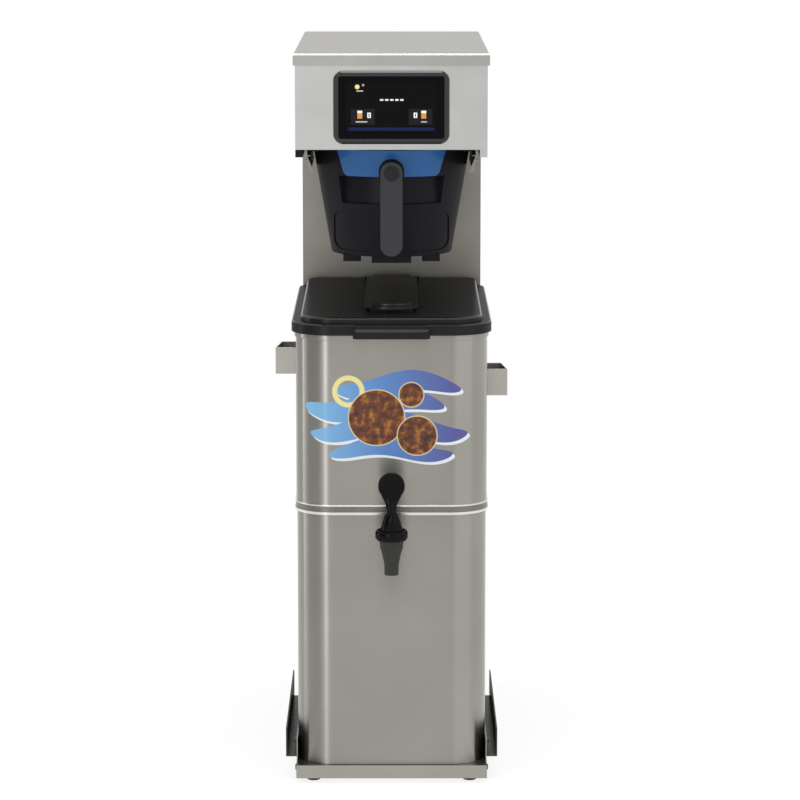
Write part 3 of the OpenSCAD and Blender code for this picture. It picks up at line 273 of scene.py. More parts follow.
# %% A surface with a real grain
def surface(name, hex_text, rough, grain, metallic=0.0, stretch=None, spread=0.08, bump=0.2,
            gloss_spread=0.12, cloud=60, cloud_spread=0.05, bump_mm=0.02, brushed=0.0, **sockets):
    mat = bpy.data.materials.new(name)
    mat.use_nodes = True
    tree = mat.node_tree
    shader = tree.nodes["Principled BSDF"]
    place = add(tree, "ShaderNodeTexCoord").outputs["Object"]
    lengths = stretch or (grain, grain, grain)
    mapped = add(tree, "ShaderNodeMapping", {"Vector": place},
                 {"Scale": [1 / (length * MM) for length in lengths]}).outputs[0]
    fine = add(tree, "ShaderNodeTexNoise", {"Vector": mapped},
               {"Scale": 1.0, "Detail": 3.0, "Roughness": 0.6}).outputs[0]
    big = add(tree, "ShaderNodeTexNoise", {"Vector": place},
              {"Scale": 1 / (cloud * MM), "Detail": 2.0}).outputs[0]
    low, high = tint(hex_text, 1 - spread), tint(hex_text, 1 + spread)
    grained = add(tree, "ShaderNodeMix", {0: fine}, {6: low, 7: high}, data_type="RGBA")
    shade = add(tree, "ShaderNodeMapRange", {"Value": big},
                {"From Min": 0.3, "From Max": 0.7, "To Min": 1 - cloud_spread, "To Max": 1 + cloud_spread})
    colour = add(tree, "ShaderNodeVectorMath", {0: grained.outputs[2], 1: shade.outputs[0]},
                 operation="MULTIPLY")
    tree.links.new(colour.outputs[0], shader.inputs["Base Color"])
    gloss = add(tree, "ShaderNodeMapRange", {"Value": fine},
                {"From Min": 0.25, "From Max": 0.75, "To Min": rough * (1 - gloss_spread),
                 "To Max": rough * (1 + gloss_spread)})
    tree.links.new(gloss.outputs[0], shader.inputs["Roughness"])
    relief = add(tree, "ShaderNodeBump", {"Height": fine}, {"Strength": bump, "Distance": bump_mm * MM})
    tree.links.new(relief.outputs[0], shader.inputs["Normal"])
    shader.inputs["Metallic"].default_value = metallic
    if brushed:
        shader.inputs["Anisotropic"].default_value = brushed
        shader.inputs["Anisotropic Rotation"].default_value = 0.25
        along = add(tree, "ShaderNodeTangent", direction_type="RADIAL", axis="Z")
        tree.links.new(along.outputs[0], shader.inputs["Tangent"])
    for key, value in sockets.items():
        shader.inputs[key.replace("_", " ")].default_value = value
    return mat


print("surface() ready")

# %% [markdown]
# The steel of the head and the column is brushed from side to side, and so is the tea tank's.
# The head's front faces the bright room; the column stands in the head's shade, so its steel is a darker copy
# of the head's: painted shade.

# %% Steels
ACROSS = (90, 0.6, 0.6)
head_steel = surface("brushed_stainless_head", "#bcbcba", 0.36, 0.6, 1.0, ACROSS, 0.05)
cover_steel = surface("brushed_stainless_cover", "#abaaa5", 0.34, 0.6, 1.0, ACROSS, 0.07)
# The cover's flat top gets a darker copy of the cover steel: painted shade.
cover_top_shade_steel = surface("brushed_stainless_cover_top_painted_shade", "#8f8d88", 0.34, 0.6, 1.0, ACROSS, 0.07)
# The column's steel: a darker copy of the head's, painted shade.
shade_painted_steel = surface("brushed_stainless_painted_shade", "#96938b", 0.36, 0.6, 1.0, ACROSS, 0.1)
# The cone rails' steel is painted darker, as shade under the head.
rail_shade_steel = surface("brushed_stainless_rails_painted_shade", "#8a8883", 0.4, 0.6, 1.0, ACROSS, 0.08)
base_steel = surface("brushed_stainless_base", "#9f9c96", 0.34, 0.6, 1.0, ACROSS, 0.06)
TANK = {"spread": 0.07, "cloud": 120, "brushed": 0.95}
tank_steel = surface("brushed_stainless_tank", "#9a9791", 0.32, 0.6, 1.0, ACROSS, **TANK)
printed_steel = surface("printed_stainless_tank", "#9a9791", 0.32, 0.6, 1.0, ACROSS, **TANK)
side_steel = surface("brushed_stainless_handles", "#aaa8a1", 0.28, 0.5, 1.0, (0.5, 40, 0.5), 0.08)
# The beads' steel is polished and lighter than the tank's: real polish, and a painted highlight.
bead_highlight_steel = surface("polished_stainless_bead_painted_highlight", "#dcdad5", 0.2, 0.6, 1.0, ACROSS, 0.05)
# The seam band's steel is darker than the tank's: painted shade in the band between the beads.
seam_band_shade_steel = surface("stainless_seam_band_painted_shade", "#7b7974", 0.3, 0.6, 1.0, ACROSS, 0.1)
# A darker steel for the side screws: painted shade, so that they show no glint.
darkened_screw_steel = surface("darkened_steel_screws", "#5a5956", 0.35, 0.5, 1.0, None, 0.06)
bright_steel = surface("polished_stainless_fixings", "#d2d2d0", 0.18, 0.5, 1.0, None, 0.04)
dull_steel = surface("mill_finish_stainless", "#a0a09e", 0.42, 0.9, 1.0, None, 0.06)
wire_steel = surface("drawn_stainless_wire", "#c8c8c6", 0.22, 0.4, 1.0, None, 0.05)
element_steel = surface("heater_sheath_alloy", "#8a8278", 0.4, 0.8, 1.0, None, 0.12)
brass = surface("machined_brass", "#b98f46", 0.28, 0.4, 1.0, None, 0.07)
print("steels", head_steel.name, tank_steel.name)

# %% [markdown]
# The mouldings are matt where fingers grip and glossier on the tap and the lid. A moulding's
# spark-eroded grain is 0.3 to 0.8 mm wide, and it breaks up the reflections softly.

# %% Plastics, rubber, glass and boards
def moulded(name, hex_text, rough, grain, polish=0.3, coat_rough=0.25, **more):
    """A black moulding: a matt body, and a thin skin that carries all of its shine."""
    return surface(name, hex_text, rough, grain, Specular_IOR_Level=0.0, Coat_Weight=polish,
                   Coat_Roughness=coat_rough, **more)


lid_black = moulded("satin_abs_lid", "#1f1f20", 0.6, 0.7, 0.3, 0.3, spread=0.10, bump=0.25)
flap_black = moulded("satin_abs_flap", "#1b1b1c", 0.6, 0.7, 0.35, 0.22, spread=0.10, bump=0.25)
# A glossier, slightly lighter copy of the black for sloped and rounded edges: painted sheen that draws bright
# edge lines.
edge_sheen_black = moulded("abs_edges_painted_sheen", "#232324", 0.5, 0.7, 0.75, 0.22, spread=0.10, bump=0.1)
cone_black = moulded("moulded_polypropylene_cone", "#222226", 0.6, 0.6, 0.15, 0.3, spread=0.10, bump=0.3)
handle_grey = moulded("moulded_nylon_handle", "#3e3e42", 0.6, 0.4, 0.5, 0.22, spread=0.08, bump=0.35)
badge_grey = moulded("moulded_nylon_disc", "#2c2c2f", 0.6, 0.4, 0.3, 0.3, spread=0.08, bump=0.3)
label_blue = moulded("gloss_abs_label", "#3470b4", 0.5, 1.2, 0.5, 0.15, spread=0.04, bump=0.05)
bezel_grey = moulded("satin_abs_bezel", "#1f211f", 0.5, 0.5, 1.0, 0.15, spread=0.06, bump=0.1)
channel_black = moulded("smooth_abs_channel", "#3e3e3c", 0.5, 0.8, 0.4, 0.25, spread=0.08, bump=0.08)
tap_black = moulded("gloss_phenolic_tap", "#0c0c0d", 0.5, 0.9, 0.2, 0.08, spread=0.10, bump=0.04)
tap_smoke = moulded("smoke_polycarbonate_tap", "#393937", 0.3, 0.9, 0.3, 0.15, spread=0.06, bump=0.03)
nylon_black = moulded("black_nylon_fittings", "#161617", 0.6, 0.4, 0.25, 0.35, spread=0.12, bump=0.3)
foot_rubber = surface("moulded_rubber_foot", "#151515", 0.7, 0.5, spread=0.15, bump=0.5)
cup_silicone = surface("cast_silicone", "#a9a598", 0.55, 0.6, spread=0.06, bump=0.2)
hose_silicone = surface("extruded_silicone_hose", "#d5d9da", 0.4, 0.7, spread=0.05, bump=0.15,
                        Transmission_Weight=0.3)
valve_plastic = surface("glass_filled_nylon", "#37435f", 0.55, 0.4, spread=0.12, bump=0.4)
nut_nylon = surface("natural_nylon", "#d8d3c4", 0.45, 0.5, spread=0.05, bump=0.2)
rocker_red = surface("gloss_nylon_rocker", "#8f1414", 0.22, 0.6, spread=0.06, bump=0.05)
module_grey = surface("pressed_display_can", "#6d7276", 0.5, 0.6, 0.6, spread=0.08, bump=0.2)
board_green = surface("solder_mask_board", "#0e4a24", 0.35, 1.6, spread=0.18, bump=0.2)
screen_glass = surface("touch_glass", "#08080a", 0.08, 1.5, spread=0.05, bump=0.0, Specular_IOR_Level=0.05)
print(len(bpy.data.materials), "materials")

# %% [markdown]
# ## The print on the tank and the picture on the screen
#
# The tank carries a printed vinyl film. Its own generic design has wave ribbons that turn
# from light blue to indigo, each with a white lower edge, three discs the colour of tea and a
# pale yellow ring. The masks are drawn in millimetres across the tank's front, and past the
# start of the corner they are measured along the side, so the print turns the corner as a film
# does.

# %% The printed film
def layered(mat, layers, metal):
    """Lays colours over a material's own, each through its mask, and stops the metal there."""
    tree = mat.node_tree
    shader = tree.nodes["Principled BSDF"]
    base = shader.inputs["Base Color"].links[0].from_socket
    total = None
    for mask, colour in layers:
        mixed = add(tree, "ShaderNodeMix", {0: mask, 6: base}, data_type="RGBA")
        if isinstance(colour, tuple):
            mixed.inputs[7].default_value = colour
        else:
            tree.links.new(colour, mixed.inputs[7])
        base = mixed.outputs[2]
        total = mask if total is None else add(
            tree, "ShaderNodeMath", {0: total, 1: mask}, operation="MAXIMUM").outputs[0]
    tree.links.new(base, shader.inputs["Base Color"])
    if metal:
        bare = add(tree, "ShaderNodeMath", {1: total}, {0: 1.0}, operation="SUBTRACT").outputs[0]
        tree.links.new(bare, shader.inputs["Metallic"])
        gloss = shader.inputs["Roughness"].links[0].from_socket
        rough = add(tree, "ShaderNodeMix", {0: total, 2: gloss}, {3: 0.32})
        tree.links.new(rough.outputs[0], shader.inputs["Roughness"])
    return total


def ribbon(tree, across, up, left, right, middle, rise, wave, phase, half):
    """A wave ribbon that tapers to both ends; all lengths are in millimetres."""
    turned = add(tree, "ShaderNodeMath", {0: across}, {1: 2 * math.pi / wave, 2: phase},
                 operation="MULTIPLY_ADD").outputs[0]
    swing = add(tree, "ShaderNodeMath", {0: turned}, operation="SINE").outputs[0]
    line = add(tree, "ShaderNodeMath", {0: swing}, {1: rise, 2: middle}, operation="MULTIPLY_ADD").outputs[0]
    off = add(tree, "ShaderNodeMath", {0: up, 1: line}, operation="SUBTRACT").outputs[0]
    far = add(tree, "ShaderNodeMath", {0: off}, operation="ABSOLUTE").outputs[0]
    share = add(tree, "ShaderNodeMapRange", {"Value": across},
                {"From Min": left, "From Max": right, "To Min": -1.0, "To Max": 1.0}).outputs[0]
    square = add(tree, "ShaderNodeMath", {0: share, 1: share}, operation="MULTIPLY").outputs[0]
    room = add(tree, "ShaderNodeMath", {1: square}, {0: 1.0}, operation="SUBTRACT").outputs[0]
    taper = add(tree, "ShaderNodeMath", {0: room}, operation="SQRT").outputs[0]
    flipped = add(tree, "ShaderNodeMath", {0: far}, {1: -1.0}, operation="MULTIPLY").outputs[0]
    spare = add(tree, "ShaderNodeMath", {0: taper, 2: flipped}, {1: half}, operation="MULTIPLY_ADD")
    return add(tree, "ShaderNodeMath", {0: spare.outputs[0]}, {1: 3.0}, operation="MULTIPLY",
               use_clamp=True).outputs[0]


def disc(tree, plane, x, z, outer, inner=None):
    """A round spot, or a ring when an inner radius is given."""
    far = add(tree, "ShaderNodeVectorMath", {0: plane}, {1: (x, 0, z)}, operation="DISTANCE").outputs["Value"]
    mask = add(tree, "ShaderNodeMath", {1: far}, {0: outer}, operation="SUBTRACT", use_clamp=True).outputs[0]
    if inner is not None:
        hole = add(tree, "ShaderNodeMath", {0: far}, {1: inner}, operation="SUBTRACT",
                   use_clamp=True).outputs[0]
        mask = add(tree, "ShaderNodeMath", {0: mask, 1: hole}, operation="MULTIPLY").outputs[0]
    return mask


PRINT_MIDDLE = 452
WRAP_START = 12
WRAP_LENGTH = 400
tree = printed_steel.node_tree
place = add(tree, "ShaderNodeTexCoord").outputs["Object"]
spot = add(tree, "ShaderNodeSeparateXYZ", {0: place})
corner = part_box("tea_tank")[0].y + WRAP_START * MM
behind = add(tree, "ShaderNodeMapRange", {"Value": spot.outputs[1]},
             {"From Min": corner, "From Max": corner + WRAP_LENGTH * MM,
              "To Min": 0.0, "To Max": WRAP_LENGTH}).outputs[0]
way = add(tree, "ShaderNodeMath", {0: spot.outputs[0]}, operation="SIGN").outputs[0]
run = add(tree, "ShaderNodeMath", {0: behind, 1: way}, operation="MULTIPLY").outputs[0]
across = add(tree, "ShaderNodeMath", {0: spot.outputs[0], 2: run}, {1: 1 / MM},
             operation="MULTIPLY_ADD").outputs[0]
up = add(tree, "ShaderNodeMath", {0: spot.outputs[2]}, {1: 1 / MM, 2: -PRINT_MIDDLE},
         operation="MULTIPLY_ADD").outputs[0]
plane = add(tree, "ShaderNodeCombineXYZ", {0: across, 2: up}).outputs[0]
shifted = add(tree, "ShaderNodeVectorMath", {0: plane}, {1: (-3.0, 0, 3.2)}, operation="ADD").outputs[0]
under = add(tree, "ShaderNodeSeparateXYZ", {0: shifted})
fade = add(tree, "ShaderNodeMapRange", {"Value": across}, {"From Min": -100.0, "From Max": 80.0}).outputs[0]
blues = add(tree, "ShaderNodeValToRGB", {0: fade})
blues.color_ramp.elements[0].color = linear("#86c0ea")
blues.color_ramp.elements[1].color = linear("#54569c")
blues.color_ramp.elements.new(0.45).color = linear("#5f8fd0")
RIBBONS = [
    # left, right, middle, rise, wave, phase, half height
    (-72, 84, 41, 7, 150, 0.4, 13), (-108, 64, 17, 8, 170, 1.0, 15),
    (-98, 92, -11, 8, 160, 1.7, 15), (-76, 74, -38, 6, 140, 2.2, 12),
]
layers = []
for shape in RIBBONS:
    layers.append((ribbon(tree, under.outputs[0], under.outputs[2], *shape), linear("#eef4f8")))
    layers.append((ribbon(tree, across, up, *shape), blues.outputs[0]))
tea_noise = add(tree, "ShaderNodeTexNoise", {"Vector": plane}, {"Scale": 0.11, "Detail": 4.0}).outputs[0]
tea = add(tree, "ShaderNodeValToRGB", {0: tea_noise})
tea.color_ramp.elements[0].position = 0.32
tea.color_ramp.elements[0].color = linear("#33180c")
tea.color_ramp.elements[1].position = 0.7
tea.color_ramp.elements[1].color = linear("#b9792c")
tea.color_ramp.elements.new(0.52).color = linear("#6e3817")
layers.append((disc(tree, plane, -52, 34, 20, 13), linear("#f4ea9c")))
for x, z, r in ((-18, 2, 34), (31, -20, 24), (24, 30, 15)):
    layers.append((disc(tree, plane, x, z, r + 1.2), linear("#f0d9a4")))
    layers.append((disc(tree, plane, x, z, r), tea.outputs[0]))
layered(printed_steel, layers, True)
print(len(layers), "printed layers")

# %% [markdown]
# The touch screen is on. A bar, two tiles with a number box and a cup-coloured patch, a row of
# dashes and a small key stand in for the real screen's words. The picture glows a little.

# %% The screen's picture
glass_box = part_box("display_glass")
screen_z = (glass_box[0].z + glass_box[1].z) / 2 / MM
tree = screen_glass.node_tree
place = add(tree, "ShaderNodeTexCoord").outputs["Object"]
plane = add(tree, "ShaderNodeVectorMath", {0: place}, {1: (1 / MM, 0, 1 / MM)},
            operation="MULTIPLY").outputs[0]
plane = add(tree, "ShaderNodeVectorMath", {0: plane}, {1: (0, 0, -screen_z)}, operation="ADD").outputs[0]
BOXES = [
    # middle across, middle up, width, height, colour
    (0, 1, 108, 60, "#0d0c0c"), (-34, -11, 28.4, 19.2, "#1e1e20"), (34.6, -11, 28.4, 19.2, "#1e1e20"),
    (0, -25.6, 102, 4.0, "#1c2148"), (-37.5, -8.5, 6, 9.5, "#c98d4f"), (-37.5, -5.2, 6, 3, "#efe6d6"),
    (38.5, -8.5, 6, 9.5, "#c98d4f"), (38.5, -5.2, 6, 3, "#efe6d6"),
    (-26.5, -9.2, 4.4, 6.4, "#e9e9e4"), (28.6, -9.2, 4.4, 6.4, "#e9e9e4"),
    (-26.5, -9.2, 1.4, 4, "#2b2b2d"), (28.6, -9.2, 1.4, 4, "#2b2b2d"),
    (-35.5, -17, 14, 1.6, "#b9b9b4"), (38.8, -17, 7, 1.6, "#b9b9b4"), (-37.5, 19.6, 8, 1.5, "#b9b9b4"),
]
BOXES += [(-11.5 + 6 * i, 9, 4.2, 2.2, "#dededa") for i in range(5)]
layers = []
for x, z, wide, high, hex_text in BOXES:
    offset = add(tree, "ShaderNodeVectorMath", {0: plane}, {1: (x, 0, z)}, operation="SUBTRACT").outputs[0]
    size = add(tree, "ShaderNodeVectorMath", {0: offset}, operation="ABSOLUTE").outputs[0]
    room = add(tree, "ShaderNodeVectorMath", {1: size}, {0: (wide / 2, 0, high / 2)},
               operation="SUBTRACT").outputs[0]
    sides = add(tree, "ShaderNodeSeparateXYZ", {0: room})
    least = add(tree, "ShaderNodeMath", {0: sides.outputs[0], 1: sides.outputs[2]},
                operation="MINIMUM").outputs[0]
    mask = add(tree, "ShaderNodeMath", {0: least}, {1: 5.0}, operation="MULTIPLY", use_clamp=True).outputs[0]
    layers.append((mask, linear(hex_text)))
layers.append((disc(tree, plane, -40.5, 24.5, 3.2), linear("#e3cf96")))
layers.append((disc(tree, plane, -33.5, 26.6, 1.7), linear("#b9b9b4")))
layered(screen_glass, layers, False)
shader = tree.nodes["Principled BSDF"]
tree.links.new(shader.inputs["Base Color"].links[0].from_socket, shader.inputs["Emission Color"])
shader.inputs["Emission Strength"].default_value = 0.35
print(len(layers), "patches on the screen")

# %% [markdown]
# ## The housing and the small outer parts
#
# Head, cover, column and base are folded from sheet about 1.2 mm thick, so their edges are
# bend radii of a millimetre or so. The fittings, the feet, the tap's body and the flap are
# turned or moulded, with radii of their own. A softened copy of each solid is all they need.

# %% Softened pieces
def another_finish(obj, material, test):
    """Gives the faces that pass a test one more material; the test gets a middle and a normal."""
    obj.data.materials.append(material)
    chosen = [f for f in obj.data.polygons if test(f.center, f.normal)]
    for f in chosen:
        f.material_index = len(obj.data.materials) - 1
    return len(chosen)


SHEETS = {
    "head_top_cover": (1.0, "cover_steel", cover_steel),
    "head_front_panel": (0.6, "front_steel", head_steel),
    "head_body": (0.5, "housing_steel", head_steel),
    # The column and the rear panel take the steel with painted shade.
    "column_shell": (0.9, "housing_steel", shade_painted_steel),
    "base_pan": (0.9, "housing_steel", base_steel),
    "rear_panel": (0.4, "housing_steel", shade_painted_steel),
    # The cone rails take their steel with painted shade.
    "left_cone_rail": (0.3, "housing_steel", rail_shade_steel),
    "right_cone_rail": (0.3, "housing_steel", rail_shade_steel),
    "left_side_channel": (0.5, "channel_black", channel_black),
    "right_side_channel": (0.5, "channel_black", channel_black),
    # The end cap is a black block at the left rail's end only; it stands in for shade there: painted shade.
    "rail_end_cap": (0.3, "channel_black", nylon_black),
    "left_strap_handle": (0.4, "dispenser_steel", side_steel),
    "right_strap_handle": (0.4, "dispenser_steel", side_steel),
    "dispenser_skirt": (0.0, "dispenser_steel", tank_steel),
    "rubber_feet": (0.4, "foot_rubber", foot_rubber),
    "switch_housing": (0.4, "electrical_plastic", nylon_black),
    "switch_rocker": (0.5, "rocker_red", rocker_red),
    "cord_gland": (0.3, "electrical_plastic", nylon_black),
    "water_inlet_fitting": (0.3, "brass", brass),
    "cone_label": (0.3, "label_blue", label_blue),
    "handle_badge": (0.15, "badge_grey", badge_grey),
    "tap_collar": (0.7, "tap_black", tap_black),
    "tap_body": (0.4, "tap_smoke", tap_smoke),
    "lid_flap": (1.3, "lid_black", flap_black),
}
for node, (width, slot, material) in SHEETS.items():
    dress(softened(node, width, 3 if width > 1 else 2), node, material)
# The cover's flat top faces take the darker steel: painted shade.
another_finish(DRESSED["head_top_cover"], cover_top_shade_steel, lambda p, n: n.z > 0.99)
# Faces of the head's lower fold, under this height, take the darker steel: painted shade under the head.
LOWER_FOLD = 778.2
for node in ("head_body", "head_front_panel"):
    another_finish(DRESSED[node], shade_painted_steel, lambda p, n: p.z < LOWER_FOLD * MM)
# The flap's sloped and rounded faces take the glossier, lighter black: painted sheen.
sheened = another_finish(DRESSED["lid_flap"], edge_sheen_black, lambda p, n: n.z < 0.95)
print(len(SHEETS), "softened pieces,", sheened, "rubbed faces on the flap")

# %% [markdown]
# ## The brew cone
#
# The cone is an injection moulding: every outer edge has a small radius, also round the two
# sunk panels and the finger recess.

# %% Brew cone and its handle
cone = softened("brew_cone", 0.8, 2, 40)
dress(cone, "brew_cone", cone_black)
bar = softened("cone_handle", 1.4, 3, 40)
dress(bar, "cone_handle", handle_grey)
print("cone", len(cone.data.polygons), "faces, handle", len(bar.data.polygons))

# %% [markdown]
# ## The display's bezel
#
# The bezel is a shallow frame whose outer rim falls away in a wide chamfer. The chamfer is
# what shows the pale line along its top.

# %% Bezel
bezel = cad_copy("display_bezel")
bezel_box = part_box("display_bezel")
glass_half = (glass_box[1].x - glass_box[0].x) / 2 + 2 * MM
glass_high = (glass_box[1].z - glass_box[0].z) / 2 + 2 * MM
bezel_mid = (bezel_box[0].z + bezel_box[1].z) / 2
rounded = round_edges(bezel, 2.4, 1, lambda p: p.y < bezel_box[0].y + 0.5 * MM and (
    abs(p.x) > glass_half or abs(p.z - bezel_mid) > glass_high))
round_edges(bezel, 0.5, 2, lambda p: p.y < bezel_box[0].y + 3 * MM)
smooth(bezel, 40)
dress(bezel, "display_bezel", bezel_grey)
print(rounded, "outer edges rounded")

# %% [markdown]
# ## The tea tank
#
# Two sheet cans meet at a rolled seam: two proud beads with a flat band between them. The
# beads are rounded on the copy of the CAD solid; the band carries a short row of press marks
# on the left, each one a small block with rounded edges.

# %% Tank with its seam
tank = cad_copy("tea_tank")
SEAM_LOW, SEAM_HIGH = 334.3, 346.3
LOWER_BEAD, UPPER_BEAD = 3.2, 1.4
MARKS, MARK_PITCH = 9, 3.1
rounded = round_edges(tank, 0.7, 3, lambda p: SEAM_LOW - 0.5 < p.z / MM < SEAM_HIGH + 0.5)
round_edges(tank, 0.5, 2, lambda p: p.z / MM > 540)
smooth(tank)
bpy.ops.mesh.primitive_cube_add(size=1)
mark = bpy.context.object
mark.scale = (1.5 * MM, 1.4 * MM, 5.0 * MM)
mark.location = (-70 * MM, depth(3.3), (SEAM_LOW + 7.0) * MM)
settle(mark)
round_edges(mark, 0.45, 2, lambda p: True)
modify(mark, "ARRAY", count=MARKS, use_relative_offset=False, use_constant_offset=True,
       constant_offset_displace=(MARK_PITCH * MM, 0, 0))
smooth(mark)
only(tank)
mark.select_set(True)
bpy.ops.object.join()
dress(tank, "tea_tank", printed_steel)
# The flat band between the beads takes a darker steel: painted shade.
another_finish(tank, seam_band_shade_steel, lambda p, n: SEAM_LOW + LOWER_BEAD < p.z / MM < SEAM_HIGH - UPPER_BEAD)
# The beads take a lighter, polished steel: real polish, and a painted highlight.
another_finish(tank, bead_highlight_steel, lambda p, n: SEAM_LOW - 0.2 < p.z / MM < SEAM_LOW + LOWER_BEAD
               or SEAM_HIGH - UPPER_BEAD < p.z / MM < SEAM_HIGH + 0.2)
print(rounded, "seam edges rounded,", len(tank.data.polygons), "faces")

# %% [markdown]
# ## The dispenser's lid
#
# The lid is a moulded tray turned upside down. It starts as a flat outline with round
# corners. One extrusion draws the skirt; a chain of insets draws the shoulder, the ledge, the
# riser and the plateau. Then it gets its wall, the pour slot, the thumb well and the tab.

# %% Lid outline and profile
LID_WIDE, LID_FRONT, LID_REAR = 243.0, -2.8, 397.0
LID_LOW, PLATEAU = 554.8, 575.2
LEDGE = 568.6
PROFILE = [
    # inward, up
    (0.25, 1.0), (0.6, 0.9), (1.0, 0.6), (1.4, 0.35), (6.0, 0.35), (1.4, 0.1), (0.5, 3.9),
    (0.35, 1.0), (0.7, 0.8), (1.2, 0.5), (2.0, 0.3), (6.0, 0.3),
]


def outline(name, wide, y0, y1, z, front_r, rear_r):
    """A flat rectangle whose front and rear corners are rounded by two radii."""
    bpy.ops.object.select_all(action="DESELECT")
    bpy.ops.mesh.primitive_plane_add(size=1, location=(0, (depth(y0) + depth(y1)) / 2, z * MM))
    obj = bpy.context.object
    obj.name = name
    obj.scale = (wide * MM, (y1 - y0) * MM, 1)
    settle(obj)
    for radius, rear in ((front_r, False), (rear_r, True)):
        line = depth(y1) - MM if rear else depth(y0) + MM
        select_verts(obj, lambda p: p.y > line if rear else p.y < line)
        bpy.ops.mesh.bevel(offset=radius * MM, offset_type="ABSOLUTE", segments=18, profile=0.5,
                           affect="VERTICES")
        leave()
    return obj


lid = outline("lid", LID_WIDE, LID_FRONT, LID_REAR, LID_LOW, 51, 27)
edit(lid, "FACE")
bpy.ops.mesh.select_all(action="SELECT")
skirt_rise = PLATEAU - LID_LOW - sum(rise for _, rise in PROFILE)
bpy.ops.mesh.extrude_region_move(TRANSFORM_OT_translate={"value": (0, 0, skirt_rise * MM)})
for inward, rise in PROFILE:
    bpy.ops.mesh.inset(thickness=inward * MM, depth=rise * MM)
leave()
# The plateau rises a little to the rear and reaches further back than the ledge at the front.
select_verts(lid, lambda p: p.z > LEDGE * MM)
bpy.ops.transform.rotate(value=math.radians(-0.3), orient_axis="X", center_override=(0, depth(14), 570 * MM))
leave()
tilt = max(v.co.z for v in lid.data.vertices) / MM - PLATEAU
print("plateau rises", round(tilt, 2), "mm")
select_verts(lid, lambda p: p.z > LEDGE * MM and p.y > depth(200))
bpy.ops.transform.translate(value=(0, 8 * MM, 0))
leave()
modify(lid, "SOLIDIFY", thickness=2.6 * MM, offset=-1.0, use_even_offset=True)
lid_top = max(v.co.z for v in lid.data.vertices) / MM
print("skirt", round(skirt_rise, 2), "mm, lid's top at", round(lid_top, 2))

# %% [markdown]
# The curb round the pour slot is united with the lid. The two hinge ears, the lift tab and the
# brow over it are separate forms that are joined on. The slot and the shallow thumb well are
# cut out with boxes.

# %% Curb, slot, ears and tab
HINGE = (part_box("flap_pin")[0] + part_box("flap_pin")[1]) / 2
EAR_INNER, EAR_THICK, EAR_RADIUS = 32.8, 3, 3


def block(name, wide, y0, y1, z0, z1):
    bpy.ops.object.select_all(action="DESELECT")
    bpy.ops.mesh.primitive_cube_add(size=1)
    obj = bpy.context.object
    obj.name = name
    obj.scale = (wide * MM, (y1 - y0) * MM, (z1 - z0) * MM)
    obj.location = (0, (depth(y0) + depth(y1)) / 2, (z0 + z1) / 2 * MM)
    settle(obj)
    return obj


def join(target, *others):
    only(target)
    for other in others:
        other.select_set(True)
    bpy.ops.object.join()


curb = block("curb", 52, 63.2, 337.2, 573.5, 578.3)
round_edges(curb, 1.0, 3, lambda p: p.z > 575 * MM)
modify(lid, "BOOLEAN", operation="UNION", solver="EXACT", object=curb)
slot = block("slot", 46, 67.2, 333.2, 560, 590)
round_edges(slot, 5, 6, lambda p: 565 * MM < p.z < 585 * MM)
modify(lid, "BOOLEAN", operation="DIFFERENCE", solver="EXACT", object=slot)
well = block("well", 57, 30, 61, 574.4, 580)
round_edges(well, 3, 5, lambda p: 575 * MM < p.z < 579 * MM)
modify(lid, "BOOLEAN", operation="DIFFERENCE", solver="EXACT", object=well)
for cutter in (curb, slot, well):
    bpy.data.objects.remove(cutter)

tab = block("tab", 93, -9.8, -1.2, 551.3, 563.4)
round_edges(tab, 4.0, 1, lambda p: p.y < depth(-9) and (p.z > 563 * MM or abs(p.x) > 46 * MM))
round_edges(tab, 0.8, 3, lambda p: True)
brow = block("brow", 86, -5.8, -1.2, 562, 567.3)
round_edges(brow, 1.6, 4, lambda p: p.z > 562.5 * MM)
ears = []
for side in (-1, 1):
    bpy.ops.object.select_all(action="DESELECT")
    bpy.ops.mesh.primitive_circle_add(vertices=32, radius=EAR_RADIUS * MM, fill_type="NGON",
                                      location=(side * EAR_INNER * MM, HINGE.y, HINGE.z),
                                      rotation=(0, math.radians(90), 0))
    ear = bpy.context.object
    settle(ear)
    select_verts(ear, lambda p: p.z < HINGE.z - 0.1 * MM)
    bpy.ops.transform.translate(value=(0, 0, -2.2 * MM))
    bpy.ops.mesh.select_all(action="SELECT")
    bpy.ops.mesh.extrude_region_move(TRANSFORM_OT_translate={"value": (side * EAR_THICK * MM, 0, 0)})
    bpy.ops.mesh.select_all(action="SELECT")
    bpy.ops.mesh.normals_make_consistent(inside=False)
    leave()
    round_edges(ear, 0.5, 2, lambda p: abs(p.x) > 35 * MM)
    ears.append(ear)
join(lid, tab, brow, *ears)
smooth(lid, 32)
dress(lid, "dispenser_lid", lid_black)
# The lid's sloped faces take the glossier, lighter black: painted sheen.
another_finish(lid, edge_sheen_black, lambda p, n: 0.25 < n.z < 0.96 and p.y > depth(0))
print("lid", len(lid.data.polygons), "faces")

# %% [markdown]
# ## The tap's lever
#
# The lever's blade twists half a turn between its round foot and its flat round knob. The
# foot's hub, hidden in the collar, comes from the CAD solid. The blade is a chain of extruded
# rings, each one scaled and turned a little further.

